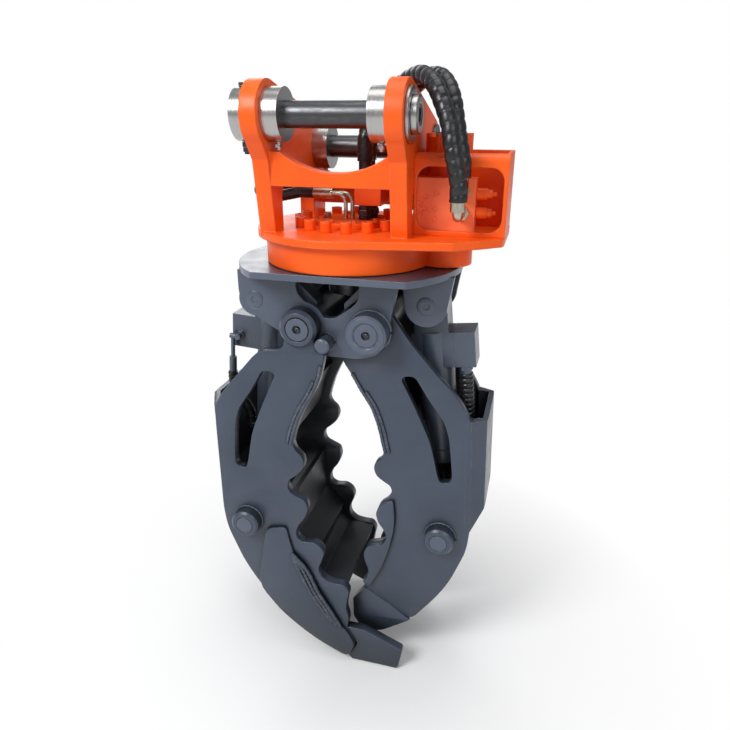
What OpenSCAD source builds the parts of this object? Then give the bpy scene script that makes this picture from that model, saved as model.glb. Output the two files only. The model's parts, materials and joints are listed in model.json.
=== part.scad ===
// Rotating hydraulic grapple for an excavator of about 8 tonnes.
// Millimetres. X runs along the stick pin, Y to the rear and Z up.
// The origin is the middle of the stick pin, on which the whole grapple hangs.

/* [Stick and link pins] */
// Diameter of the stick pin and of the link pin
pin_d = 50; // [46:1:54]
// Distance that the link pin lies behind the stick pin
pin_spacing = 286; // [278:1:296]
// Height of the stick pin above the link pin
pin_drop = 73; // [62:1:85]
// Height of the stick pin above the underside of the flange
stick_rise = 243; // [236:1:252]
// Free width between the two ears
ear_gap = 242; // [238:1:246]
// Thickness of each ear
ear_t = 34; // [30:1:36]
// Radius of each ear round the stick pin
ear_r = 64; // [60:1:68]
// Radius of each ear round the link pin
link_ear_r = 60; // [56:1:64]
// Outer diameter of the steel collars
collar_d = 100; // [94:1:106]
// Length of each inner collar
collar_l = 35; // [28:1:40]
// Length of each outer boss
boss_l = 28; // [24:1:34]
// Thickness of the flange on a pin's head
pin_head_t = 6; // [5:1:8]
// Diameter of the cap on a pin's head
pin_cap_d = 68; // [60:1:74]
// Length of the cap on a pin's head
pin_cap_l = 13; // [10:1:15]
// Diameter of the bolts through the outer bosses
cross_bolt_d = 14; // [12:1:16]

/* [Hanger] */
// Thickness of the flange plate
flange_t = 16; // [14:1:18]
// Radius of the flange plate
flange_r = 203; // [198:1:208]
// Distance that the flange reaches to the right of the slewing axis
flange_reach = 338; // [332:1:350]
// Height of the open window under the front beam
window_h = 94; // [86:1:98]
// Thickness of each saddle beam
beam_t = 24; // [20:1:28]
// Radius of the saddle curve
saddle_r = 187; // [180:1:200]
// Depth of the front beam at its lowest place
beam_h = 28; // [24:1:32]
// Thickness of the guard plates
guard_t = 8; // [6:1:8]
// Height of the guard box over the flange
guard_h = 157; // [150:1:162]

/* [Slewing ring] */
// Outer radius of the ring cover
cover_r = 185.5; // [184:0.5:188]
// Height of the ring cover
cover_h = 56; // [55:1:60]
// Wall of the ring cover
cover_wall = 8; // [7:0.5:9]
// Tooth module of the slewing gears
gear_module = 5; // [4.9:0.05:5]
// Radius of the ball track
track_r = 130; // [127:1:133]
// Diameter of the bearing balls
ball_d = 18; // [16:1:20]
// Radius of the slewing motor
motor_r = 42; // [38:1:43]
// Height of the slewing motor over the flange
motor_h = 201; // [190:1:205]

/* [Head] */
// Radius of the head disc
disc_r = 249; // [245:1:254]
// Depth of the head disc from front to back
disc_depth = 376; // [370:2:384]
// Thickness of the head disc
disc_t = 14; // [12:1:15]
// Distance from the middle to the outer face of each head plate
plate_y = 122; // [120:1:126]
// Thickness of the head plates
plate_t = 18; // [16:1:19]
// Distance from the middle to each jaw pivot
pivot_x = 76; // [75:0.5:77]
// Depth of the jaw pivots under the flange
pivot_drop = 185; // [184:0.5:188]
// Diameter of the jaw pivot pins
pivot_d = 50; // [46:1:52]
// Outer diameter of the pivot bosses
pivot_boss_d = 86; // [82:1:88]
// Distance from the middle to each cylinder pin
lug_x = 186; // [185:0.5:188]
// Depth of the cylinder pins under the flange
lug_drop = 136; // [135:0.5:137]
// Radius of the right lugs round the cylinder pin
lug_r = 46; // [42:1:48]
// Diameter of the upper cylinder pins
ram_pin_d = 40; // [36:1:42]
// Diameter of the stop pin between the jaws
stop_d = 34; // [30:1:34]

/* [Jaws] */
// Length that each jaw's outline is scaled from
jaw_len = 900; // [895:1:905]
// Thickness of the left jaw's plates
left_plate_t = 24; // [22:1:26]
// Thickness of the right jaw's plates
right_plate_t = 22; // [20:1:23]
// Thickness of the jaws' back and inner walls
jaw_wall = 12; // [10:1:13]
// Angle by which the right jaw stands wider than the left one
right_lean = 1.9; // [1.7:0.1:2.1]
// Distance from a jaw's pivot to its lower cylinder pin
toe_r = 534; // [531:0.5:537]
// Angle of the lower cylinder pin outside the pivot
toe_lean = 16.45; // [16.2:0.05:16.7]
// Diameter of the lower cylinder pins
toe_pin_d = 40; // [36:1:42]
// Outer diameter of the bosses round the lower cylinder pins
toe_boss_d = 70; // [66:1:74]
// Distance that those bosses stand out of the jaw plates
toe_boss_out = 30; // [26:1:34]
// Thickness of the wear plates
wear_t = 10; // [8:1:12]

/* [Cylinders] */
// Outer diameter of the cylinder barrels
barrel_d = 84; // [80:1:88]
// Diameter of the piston rods
rod_d = 50; // [45:1:52]
// Distance from the upper pin to the end of the gland
barrel_len = 395; // [385:1:400]
// Depth of the cylinder blocks from front to back
block_w = 72; // [66:1:76]
// Radial room round the lower pin in the rod eye
eye_room = 8.8; // [8.6:0.1:9.2]

/* [Hoses] */
// Outer diameter of the ribbed feed hoses
feed_hose_d = 34; // [32:0.5:34]
// Outer diameter of the other hoses
hose_d = 24; // [22:0.5:24]
// Outer diameter of the ribbed hose on the right cylinder
ribbed_hose_d = 32; // [30:0.5:32]
// Share of a hose's diameter that its bore takes
bore_share = 0.5; // [0.4:0.02:0.56]
// Depth of the ribs on the feed hoses
rib_depth = 3; // [2:0.5:3.5]

/* [Fits] */
// Gap between pieces that move past each other
gap = 2; // [1.8:0.1:2.1]
// Radial clearance of a running pin in its bush
run_fit = 0.05; // [0.03:0.01:0.1]
// Radial clearance of a fixed pin or bush in its seat
seat_fit = 0.02; // [0.01:0.01:0.05]

/* [Hidden] */
$fn = 48;
over = 1;
// Places of the main axes, seen from the slewing axis at the underside of the flange
ring_y = pin_spacing / 2;
pin_r = pin_d / 2;
collar_r = collar_d / 2;
ear_in = ear_gap / 2;
ear_out = ear_in + ear_t;
stick_yz = [-ring_y, stick_rise];
link_yz = [ring_y, stick_rise - pin_drop];
saddle_z = flange_t + window_h + beam_h;
saddle_x = 12;
beam_front = -ring_y - 0.14 * ear_r;
disc_z = -cover_h - gap;
head_z = disc_z - disc_t;
// Planes of the nested plates, from the outside to the middle
left_in = plate_y + gap;
left_out = left_in + left_plate_t;
boss_out = left_out + 0.5 * left_plate_t;
plate_in = plate_y - plate_t;
right_out = plate_in - gap;
right_in = right_out - right_plate_t;
lug_out = right_in - gap;
lug_in = lug_out - plate_t;
eye_half = lug_in - gap;
pivot_r = pivot_d / 2;
boss_r = pivot_boss_d / 2;
bush_r = 1.2 * pivot_r;
hub_r = 1.6 * pivot_r;
ram_r = ram_pin_d / 2;
toe_pin_r = toe_pin_d / 2;
toe_boss_r = toe_boss_d / 2;
// Slewing gears and their bearing
gear_n = 66;
pinion_n = 18;
gear_r = gear_module * gear_n / 2;
pinion_r = gear_module * pinion_n / 2;
pinion_x = gear_r + pinion_r;
shaft_r = 0.36 * pinion_r;
pocket_r = pinion_r + gear_module + gap;
bulge_r = pocket_r + 0.75 * cover_wall;
race_top = -2 * gap;
inner_race_z = -cover_h + 3 * gap;
inner_race_in = 95;
ball_n = 36;
// Screws through the flange
screw_d = 16;
screw_n = 16;
screw_track = 112;
disc_screw_d = 12;
disc_screw_n = 10;
disc_screw_track = 147;
motor_screw_d = 10;
// Rotary swivel in the middle
stem_r = 30;
sleeve_r = 52;
swivel_plate_r = 76;
swivel_plate_t = 12;
swivel_low = [14, -22, 60];
swivel_high = [72, 52, 118];
adapter_r = 13;
adapter_xy = [[31, 0], [40, 30]];
stem_z = -120;
sleeve_z = -132;
// Valve block and its guard
guard_front = -88;
guard_rear = 60;
guard_strip = 36;
guard_bend = 14;
window_low = [ear_out + 6, flange_t + 10];
window_high = [flange_reach - guard_t, flange_t + guard_h - 24];
window_r = 26;
valve_x = ear_out + 3;
valve_room = 14;
valve_h = 111;
valve_y = -76;
valve_t = 32;
plug_shares = [[0.16, 0.68], [0.08, 0.55], [0.14, 0.47], [0.34, 0.46], [0.33, 0.28],
    [0.08, 0.36], [0.35, 0.74]];
fitting_r = 13;
tube_r = 9;
fitting_z = [62, 102];
fitting_bend = 12;
cartridge_z = [60, 97];
cartridge_r = 11;
cartridge_l = 40;
valve_w = flange_reach - guard_t - cartridge_l - valve_room - valve_x;
fitting_x = valve_x + 0.79 * valve_w;
// Feed hoses: where each starts over its elbow and ends on the swivel
feed_y = [-150, -112];
feed_start = [92, 132];
ferrule_r = 14;
ferrule_l = 16;
hose_gap = 0.3;
// Slewing hose
slew_tube_r = 4.5;
slew_tube_x = [-8, 4];
slew_plug = [-54, -2];
slew_bend = 20;
slew_z = 82;
slew_port_yz = [10, 62];
slew_port_out = 1.08 * motor_r;
// Head plates: the notch over the middle and the lower edge
head_lug_r = 37;
head_eye_r = 52;
notch_x = [-89, -30, -4, 52];
notch_z = [-116, -166, -126];
plate_low = 253;
stop_x = -20;
stop_z = -217;
// Cylinders
cap_top = 73;
cap_low = 154;
cap_in = 46;
valve_out = 95;
eye_r = 38;
rod_eye_r = toe_pin_r + eye_room + 11;
rod_eye_half = 40;
piston_r = 0.8 * barrel_d / 2;
piston_l = 40;
gland_l = 34;
gland_r = 1.05 * barrel_d / 2;
port_drop = barrel_len - 0.4 * gland_l;
elbow_drop = 124;
elbow_out = 14;
lip_t = 0.25 * left_plate_t;
gusset_l = 44;
cross_low = 12;

// Outlines of the jaws as shares of the jaw length: outwards, then up, from the pivot
left_top_shares = [[-0.063, -0.056], [0.109, -0.066], [0.157, -0.121], [0.217, -0.191]];
right_top_shares = [[-0.0615, 0], [0.059, 0.016], [0.091, -0.034], [0.148, -0.104], [0.211, -0.173]];
back_shares = [[0.238, -0.230], [0.242, -0.279], [0.240, -0.564], [0.234, -0.609],
    [0.194, -0.714], [0.159, -0.773], [0.085, -0.869]];
left_end_shares = [[0.020, -0.920], [-0.034, -0.954], [-0.116, -0.989], [-0.140, -0.939],
    [-0.111, -0.886], [-0.118, -0.773], [-0.119, -0.747]];
left_edge_shares = [[-0.052, -0.743], [-0.036, -0.706], [-0.048, -0.659], [-0.032, -0.618],
    [0.025, -0.564], [-0.001, -0.502], [0.046, -0.460], [0.047, -0.423], [-0.003, -0.354],
    [0.031, -0.326], [0.020, -0.269], [-0.001, -0.216], [-0.029, -0.159], [-0.049, -0.116]];
right_end_shares = [[0.033, -0.828], [-0.044, -0.778]];
right_edge_shares = [[-0.050, -0.743], [-0.034, -0.706], [-0.042, -0.667], [-0.028, -0.618],
    [0.021, -0.573], [-0.005, -0.529], [0.002, -0.500], [0.037, -0.468], [0.038, -0.440],
    [-0.008, -0.388], [0.001, -0.360], [0.021, -0.339], [0.010, -0.289], [-0.004, -0.236],
    [-0.031, -0.194], [-0.060, -0.132]];
left_tip_shares = [[-0.111, -0.886], [-0.161, -0.886], [-0.272, -0.932], [-0.260, -1.001],
    [-0.126, -1.000], [-0.116, -0.989], [-0.140, -0.939]];
right_tip_shares = [[0.085, -0.869], [0.007, -0.921], [-0.053, -0.940], [-0.083, -0.886],
    [-0.082, -0.822], [-0.044, -0.778], [0.033, -0.828]];
slot_shares = [[0.124, -0.254], [0.142, -0.300], [0.159, -0.385], [0.165, -0.409], [0.196, -0.403],
    [0.196, -0.373], [0.188, -0.281], [0.176, -0.236], [0.133, -0.176], [0.101, -0.118],
    [0.066, -0.124], [0.094, -0.184], [0.124, -0.254]];
left_wear_shares = [[0.110, -0.603], [0.059, -0.584], [0.052, -0.659], [0.048, -0.766],
    [0.014, -0.851], [-0.060, -0.899], [-0.111, -0.890], [-0.138, -0.937], [-0.116, -0.985],
    [-0.034, -0.950], [0.020, -0.916], [0.083, -0.866], [0.150, -0.782]];
right_wear_shares = [[0.050, -0.500], [0.045, -0.560], [0.017, -0.669], [-0.030, -0.765],
    [-0.048, -0.757], [-0.034, -0.706], [-0.042, -0.667], [-0.028, -0.618], [0.021, -0.573],
    [-0.005, -0.529], [0.002, -0.500], [0.037, -0.468]];
// Back wall: how far out it stands, and from where to where it runs
back_edge_share = 0.245;
back_side_share = 0.280;
back_side_half = right_in;
back_top_share = -0.229;
back_side_low_share = -0.478;
back_low_share = -0.549;
inner_wall_shares = [[-0.001, -0.216], [0.020, -0.269], [0.031, -0.318]];
right_wall_shares = [[0.046, -0.430], [0.042, -0.500], [0.031, -0.570], [0.014, -0.620]];
cross_shares = [[-0.119, -0.747], [-0.052, -0.743]];

// Ram geometry seen from a jaw's pivot, outwards and up
ram_top = [lug_x - pivot_x, pivot_drop - lug_drop];
function toe(lean) = toe_r * [sin(toe_lean + lean), -cos(toe_lean + lean)];
function ram_len(lean) = norm(toe(lean) - ram_top);
function ram_lean(lean) = atan2(toe(lean)[0] - ram_top[0], ram_top[1] - toe(lean)[1]);

// Routes of the hoses, from the slewing axis at the underside of the flange
feed_front_route = [[252, -150, 92], [252, -150, 104], [252, -150, 116], [248, -150, 142],
    [241, -149, 168], [235, -146, 194], [228, -138, 226], [213, -124, 260], [192, -98, 293],
    [165, -62, 312], [135, -25, 311], [100, 6, 294], [68, 24, 265], [47, 15, 236], [36, 3, 210],
    [33, -2, 188], [33, -2, 169], [33, -2, 150]];
feed_rear_route = [[252, -112, 132], [252, -112, 144], [252, -112, 156], [247, -112, 180],
    [241, -109, 206], [234, -102, 234], [226, -88, 264], [212, -64, 292], [191, -33, 310],
    [160, 5, 311], [126, 38, 294], [96, 58, 266], [68, 60, 238], [44, 48, 210], [33, 37, 188],
    [31, 34, 170], [31, 34, 160], [31, 34, 150]];
slew_route = [[-82, -8, 82], [-98, -8, 82], [-114, -8, 82], [-136, -18, 78], [-158, -32, 75],
    [-182, -36, 77], [-202, -24, 83], [-211, 2, 88], [-206, 30, 90], [-190, 50, 90],
    [-164, 64, 90], [-132, 76, 91], [-100, 90, 92], [-60, 106, 93], [0, 112, 94], [56, 106, 92],
    [92, 88, 84], [112, 62, 75], [121, 38, 68], [129, 19, 63], [140, 10, 62], [149, 10, 62],
    [158, 10, 62]];
// Routes of the hoses on the cylinders, outwards, to the rear and down from the upper pin
right_hose_route = [[70, -22, 172], [70, -22, 184], [70, -22, 196], [70, -22, 236], [69, -19, 272],
    [67, -11, 306], [65, -4, 332], [64, -1, 346], [64, 0, 355], [64, 0, 364]];
left_hose_route = [[88, -50, 216], [88, -50, 226], [87, -48, 244], [82, -40, 270], [74, -26, 298],
    [67, -11, 324], [63, -3, 342], [62, 0, 350], [62, 0, 357], [62, 0, 364]];

// Moves from the stick pin to the slewing axis at the underside of the flange
module from_ring() {
    translate([0, ring_y, -stick_rise]) children();
}

// Moves to the right jaw's pivot, turned outwards by the jaw's lean
module right_side(lean = 0) {
    translate([pivot_x, 0, -pivot_drop]) rotate([0, -lean, 0]) children();
}

module left_side(lean = 0) {
    mirror([1, 0, 0]) right_side(lean) children();
}

// Moves to a cylinder's upper pin, with the cylinder hanging along -Z
module right_ram(lean = 0) {
    translate([lug_x, 0, -lug_drop]) rotate([0, -ram_lean(lean), 0]) children();
}

module left_ram(lean = 0) {
    mirror([1, 0, 0]) right_ram(lean) children();
}

// Front and rear copies
module both_faces() {
    children();
    mirror([0, 1, 0]) children();
}

module x_rod(r, x0, x1) {
    translate([x0, 0, 0]) rotate([0, 90, 0]) cylinder(r = r, h = x1 - x0);
}

module y_rod(r, y0, y1) {
    translate([0, y1, 0]) rotate([90, 0, 0]) cylinder(r = r, h = y1 - y0);
}

// A flat outline in X and Z, thick from y0 to y1
module y_plate(y0, y1) {
    translate([0, y1, 0]) rotate([90, 0, 0]) linear_extrude(y1 - y0) children();
}

// A flat outline in Y and Z, thick from x0 to x1
module x_plate(x0, x1) {
    translate([x0, 0, 0]) rotate([90, 0, 90]) linear_extrude(x1 - x0) children();
}

// Two circles joined by their outer tangents
module link_outline(a, ra, b, rb) {
    d = b - a;
    turn = atan2(d[1], d[0]);
    spread = acos((ra - rb) / norm(d));
    up = [cos(turn + spread), sin(turn + spread)];
    down = [cos(turn - spread), sin(turn - spread)];
    translate(a) circle(r = ra);
    translate(b) circle(r = rb);
    polygon([a + ra * down, b + rb * down, b + rb * up, a + ra * up]);
}

// A rectangle with round corners between two opposite corners
module round_box(low, high, r) {
    size = high - low;
    translate(low + [r, 0]) square([size[0] - 2 * r, size[1]]);
    translate(low + [0, r]) square([size[0], size[1] - 2 * r]);
    for (x = [low[0] + r, high[0] - r], y = [low[1] + r, high[1] - r])
        translate([x, y]) circle(r = r);
}

// A hexagon as a screw head or fitting, by its corner radius
module hex(r, h) {
    cylinder(r = r, h = h, $fn = 6);
}

// A socket screw head with its hexagon socket, standing on z = 0
module socket_head(d, h) {
    difference() {
        cylinder(r = 0.75 * d, h = h);
        translate([0, 0, 0.5 * h]) hex(0.45 * d, h);
    }
}

// Half the angle of a gear tooth at a radius, with play between the flanks
function involute(angle) = tan(angle) * 180 / PI - angle;
function tooth_half(n, r) = let (pitch = gear_module * n / 2, base = pitch * cos(20))
    0.231 * 360 / n + involute(20) - (r > base ? involute(acos(base / r)) : 0);

// Outline of a gear with n teeth
module gear_outline(n) {
    pitch = gear_module * n / 2;
    radii = [pitch - 1.15 * gear_module, pitch, pitch + 0.9 * gear_module];
    polygon([for (i = [0:n - 1], k = [0:5])
        let (r = radii[k < 3 ? k : 5 - k], side = k < 3 ? -1 : 1,
            a = i * 360 / n + side * tooth_half(n, r))
        r * [cos(a), sin(a)]]);
}

// A smooth curve through the points of a route, in n steps a stretch
function curve_at(p, i, t) = let (a = p[max(i - 1, 0)], b = p[i], c = p[i + 1],
    d = p[min(i + 2, len(p) - 1)])
    b + 0.5 * t * (c - a + t * (2 * a - 5 * b + 4 * c - d + t * (3 * b - a - 3 * c + d)));
function curve(p, n) = [for (i = [0:len(p) - 2], k = [0:n - 1]) curve_at(p, i, k / n),
    p[len(p) - 1]];
function unit(v) = v / norm(v);
function headings(q) = [for (i = [0:len(q) - 1])
    unit(q[min(i + 1, len(q) - 1)] - q[max(i - 1, 0)])];
// Normals that don't twist along the curve
function normals(t) = [for (i = 0, n = unit(cross(t[0], [1, 2, 3])); i < len(t);
    i = i + 1, n = i < len(t) ? unit(n - (n * t[i]) * t[i]) : n) n];
// Rings of eight points round the curve; radius is a list with one value a ring
sides = 8;
function rings(q, radius) = let (t = headings(q), n = normals(t))
    [for (i = [0:len(q) - 1], k = [0:sides - 1])
        let (a = k * 360 / sides) q[i] + radius[i] * (cos(a) * n[i] + sin(a) * cross(t[i], n[i]))];
// Triangles between two rings that start at points a and b
function band(a, b) = [for (k = [0:sides - 1])
    let (m = (k + 1) % sides) each [[a + k, b + k, b + m], [a + k, b + m, a + m]]];

// A hose with a bore along a route: ribbed where depth isn't zero, each rib of two rings
module hose(route, d, depth, steps) {
    q = curve(route, steps);
    n = len(q);
    r = d / 2;
    outer = [for (i = [0:n - 1]) i < 2 || i > n - 3 || i % 2 == 0 ? r - depth : r];
    bore_step = 2;
    bore_q = [for (i = [0:bore_step:n - 1]) q[i]];
    m = len(bore_q);
    first_bore = n * sides;
    last_bore = first_bore + (m - 1) * sides;
    polyhedron(points = concat(rings(q, outer), rings(bore_q, [for (i = [0:m - 1]) r * bore_share])),
        faces = concat(
            [for (i = [0:n - 2]) each band(i * sides, (i + 1) * sides)],
            [for (i = [0:m - 2]) each band(first_bore + (i + 1) * sides, first_bore + i * sides)],
            band(first_bore, 0),
            band((n - 1) * sides, last_bore)));
}

// The points of an open outline with each inner corner rounded over a share of its sides
round_share = 0.4;
round_steps = 3;
function rounded(p) = concat([p[0]], [for (i = [1:len(p) - 2])
    let (b = p[i], u = p[i - 1] - b, w = p[i + 1] - b, r = round_share * min(norm(u), norm(w)),
        s = b + r * unit(u), e = b + r * unit(w))
    for (k = [0:round_steps]) let (t = k / round_steps)
        (1 - t) * (1 - t) * s + 2 * t * (1 - t) * b + t * t * e], [p[len(p) - 1]]);

// Side view of an ear
module ear_outline() {
    difference() {
        union() {
            link_outline(stick_yz, ear_r, link_yz, link_ear_r);
            polygon([stick_yz + ear_r * [cos(205), sin(205)],
                stick_yz + ear_r * [-0.25, -1.3],
                [-ring_y + 0.1 * ear_r, 0.5 * flange_t],
                [ring_y + 0.6 * link_ear_r, 0.5 * flange_t],
                link_yz + link_ear_r * [cos(12), -sin(12)],
                link_yz, stick_yz]);
        }
        round_box([-0.66 * ring_y, -0.3 * stick_rise], [0.7 * ring_y, 0.47 * stick_rise],
            0.25 * ring_y);
        translate(stick_yz) circle(r = collar_r + seat_fit);
        translate(link_yz) circle(r = collar_r + seat_fit);
    }
}

// A beam between the ears with a saddle curve in its top edge
module saddle_beam(y0, low, high, lowest) {
    y_plate(y0, y0 + beam_t) difference() {
        translate([-ear_in - over, low]) square([ear_gap + 2 * over, high - low]);
        translate([saddle_x, lowest + saddle_r]) circle(r = saddle_r, $fn = 96);
    }
}

module flange_outline() {
    reach_points = [[0.39 * flange_r, -0.92 * flange_r], [0.73 * flange_reach, -0.77 * flange_r],
        [0.87 * flange_reach, -0.62 * flange_r], [0.99 * flange_reach, -0.45 * flange_r],
        [flange_reach, -0.38 * flange_r], [flange_reach, 0.38 * flange_r],
        [0.87 * flange_reach, 0.62 * flange_r], [0.73 * flange_reach, 0.77 * flange_r],
        [0.39 * flange_r, 0.92 * flange_r]];
    circle(r = flange_r);
    polygon(concat([[0, 0]], reach_points));
}

module hanger_frame() {
    color("orangered") from_ring() difference() {
        union() {
            linear_extrude(flange_t) flange_outline();
            x_plate(ear_in, ear_out) ear_outline();
            x_plate(-ear_out, -ear_in) ear_outline();
            saddle_beam(beam_front, flange_t + window_h, saddle_z + 0.2 * saddle_r, saddle_z);
            saddle_beam(ring_y + 0.35 * link_ear_r - beam_t, flange_t + 0.27 * window_h,
                flange_t + 0.9 * window_h, flange_t + 0.78 * window_h);
        }
        translate([0, 0, -over]) cylinder(r = stem_r + gap, h = flange_t + 2 * over);
        translate([pinion_x, 0, -over]) cylinder(r = 0.8 * pinion_r, h = flange_t + 2 * over);
        for (i = [0:screw_n - 1]) rotate(i * 360 / screw_n + 180 / screw_n)
            translate([screw_track, 0, -over]) cylinder(r = 0.53 * screw_d, h = flange_t + 2 * over);
    }
}

// Sheet box round the valve block, open to the ear
module guard_box() {
    top = flange_t + guard_h;
    color("orangered") from_ring() difference() {
        union() {
            y_plate(guard_front, guard_front + guard_t) difference() {
                translate([ear_out, flange_t]) square([flange_reach - ear_out, guard_h]);
                round_box(window_low, window_high, window_r);
            }
            y_plate(guard_rear - guard_t, guard_rear)
                translate([ear_out, flange_t]) square([flange_reach - ear_out, guard_h]);
            translate([flange_reach - guard_t, guard_front, flange_t])
                cube([guard_t, guard_rear - guard_front, guard_h]);
            translate([ear_out, guard_front, top - guard_t])
                cube([flange_reach - ear_out, guard_strip, guard_t]);
        }
        // Round bend between the front and the top
        translate([ear_out - over, guard_front, top]) rotate([0, 90, 0])
            linear_extrude(flange_reach - ear_out + 2 * over) difference() {
                translate([-over, -over]) square([guard_bend + over, guard_bend + over]);
                translate([guard_bend, guard_bend]) circle(r = guard_bend);
            }
    }
}

// One collar through an ear, bored for its pin
module collar(x0, x1) {
    difference() {
        x_rod(collar_r, x0, x1);
        x_rod(pin_r + run_fit, x0 - over, x1 + over);
    }
}

module collar_pair() {
    difference() {
        collar(-ear_out - boss_l, -ear_in + collar_l);
        translate([-ear_out - 0.5 * boss_l, 0, -collar_d])
            cylinder(r = cross_bolt_d / 2 + seat_fit, h = 2 * collar_d);
    }
    collar(ear_in - collar_l, ear_out);
}

module at_link() {
    translate([0, pin_spacing, -pin_drop]) children();
}

module stick_collars() {
    color("silver") collar_pair();
}

module link_collars() {
    color("silver") at_link() collar_pair();
}

// Pin with its head flange and cap on the right
module hanger_pin() {
    difference() {
        union() {
            x_rod(pin_r, -ear_out - boss_l, ear_out + pin_head_t);
            x_rod(collar_r, ear_out + seat_fit, ear_out + pin_head_t);
            x_rod(pin_cap_d / 2, ear_out + pin_head_t - over, ear_out + pin_head_t + pin_cap_l);
        }
        x_rod(0.2 * pin_cap_d, ear_out + pin_head_t + 0.6 * pin_cap_l,
            ear_out + pin_head_t + pin_cap_l + over);
        translate([-ear_out - 0.5 * boss_l, 0, -collar_d])
            cylinder(r = cross_bolt_d / 2 + seat_fit, h = 2 * collar_d);
    }
}

module stick_pin() {
    color("dimgray") hanger_pin();
}

module link_pin() {
    color("dimgray") at_link() hanger_pin();
}

// Place of the cross bolt in a left outer boss
module at_cross_bolts() {
    for (p = [[0, 0], [pin_spacing, -pin_drop]])
        translate([-ear_out - 0.5 * boss_l, p[0], p[1]]) children();
}

module cross_bolts() {
    color("dimgray") at_cross_bolts() {
        translate([0, 0, -collar_r - 1.7 * cross_bolt_d])
            cylinder(r = cross_bolt_d / 2, h = 2 * collar_r + 1.7 * cross_bolt_d);
        translate([0, 0, collar_r]) hex(0.85 * cross_bolt_d, 0.5 * cross_bolt_d);
    }
}

module cross_nuts() {
    color("dimgray") at_cross_bolts() for (i = [0, 1])
        translate([0, 0, -collar_r - (i + 1) * 0.7 * cross_bolt_d]) difference() {
            hex((0.85 - 0.08 * i) * cross_bolt_d, 0.65 * cross_bolt_d);
            translate([0, 0, -over]) cylinder(r = cross_bolt_d / 2 + seat_fit, h = cross_bolt_d);
        }
}

// Locking screws that hang under the inner collars
module collar_screws() {
    screw_r = 0.1 * collar_r;
    color("silver") for (p = [[0, 0], [pin_spacing, -pin_drop]], side = [-1, 1])
        translate([side * (ear_in - 0.5 * collar_l), p[0], p[1] - collar_r - 3 * screw_r]) {
            cylinder(r = screw_r, h = 3 * screw_r);
            translate([0, 0, screw_r]) hex(1.8 * screw_r, 1.2 * screw_r);
        }
}

// Cover of the ring gear with the housing of the pinion
module ring_cover() {
    color("orangered") from_ring() translate([0, 0, -cover_h]) difference() {
        union() {
            cylinder(r = cover_r, h = cover_h, $fn = 96);
            translate([pinion_x, 0, 0]) cylinder(r = bulge_r, h = cover_h);
        }
        translate([0, 0, -over]) cylinder(r = cover_r - cover_wall, h = cover_h + 2 * over, $fn = 96);
        translate([pinion_x, 0, 0.6 * cover_wall]) cylinder(r = pocket_r, h = cover_h);
    }
}

module inner_race() {
    color("silver") from_ring() difference() {
        translate([0, 0, inner_race_z]) cylinder(r = track_r - gap / 4, h = -inner_race_z, $fn = 96);
        translate([0, 0, -cover_h]) cylinder(r = inner_race_in, h = cover_h + over, $fn = 96);
        ball_groove();
        for (i = [0:screw_n - 1]) rotate(i * 360 / screw_n + 180 / screw_n)
            translate([screw_track, 0, -1.5 * screw_d]) cylinder(r = screw_d / 2 + seat_fit, h = 2 * screw_d);
    }
}

// Track in which the balls run
module ball_groove() {
    translate([0, 0, inner_race_z / 2]) rotate_extrude($fn = 96)
        translate([track_r, 0]) circle(r = ball_d / 2 + 6 * run_fit);
}

module bearing_balls() {
    color("silver") from_ring() for (i = [0:ball_n - 1]) rotate(i * 360 / ball_n)
        translate([track_r, 0, inner_race_z / 2]) sphere(r = ball_d / 2);
}

module gear_race() {
    color("dimgray") from_ring() difference() {
        translate([0, 0, disc_z]) linear_extrude(race_top - disc_z) gear_outline(gear_n);
        translate([0, 0, disc_z - over])
            cylinder(r = track_r + gap / 4, h = cover_h + gap + over, $fn = 96);
        ball_groove();
        disc_screw_places() translate([0, 0, -over]) cylinder(r = disc_screw_d / 2 + seat_fit,
            h = 2 * disc_t + over);
    }
}

// Places of the screws between the disc and the geared race, at the disc's top
module disc_screw_places() {
    for (i = [0:disc_screw_n - 1]) rotate(i * 360 / disc_screw_n)
        translate([disc_screw_track, 0, disc_z]) children();
}

module disc_screws() {
    color("dimgray") from_ring() disc_screw_places() {
        translate([0, 0, -disc_t]) cylinder(r = disc_screw_d / 2, h = 2.5 * disc_t);
        translate([0, 0, -disc_t - 0.6 * disc_screw_d]) hex(0.8 * disc_screw_d, 0.6 * disc_screw_d);
    }
}

module flange_screws() {
    color("orangered") from_ring() for (i = [0:screw_n - 1])
        rotate(i * 360 / screw_n + 180 / screw_n) translate([screw_track, 0, 0]) {
            translate([0, 0, -1.2 * screw_d]) cylinder(r = screw_d / 2, h = 1.3 * screw_d + flange_t);
            translate([0, 0, flange_t]) socket_head(screw_d, 1.35 * screw_d);
        }
}

module drive_pinion() {
    low = -cover_h + 0.6 * cover_wall + gap;
    color("dimgray") from_ring() translate([pinion_x, 0, 0]) {
        translate([0, 0, low]) linear_extrude(2 * race_top - low)
            rotate(180 + 180 / pinion_n) gear_outline(pinion_n);
        translate([0, 0, low]) cylinder(r = shaft_r, h = 3.5 * flange_t - low);
    }
}

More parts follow.
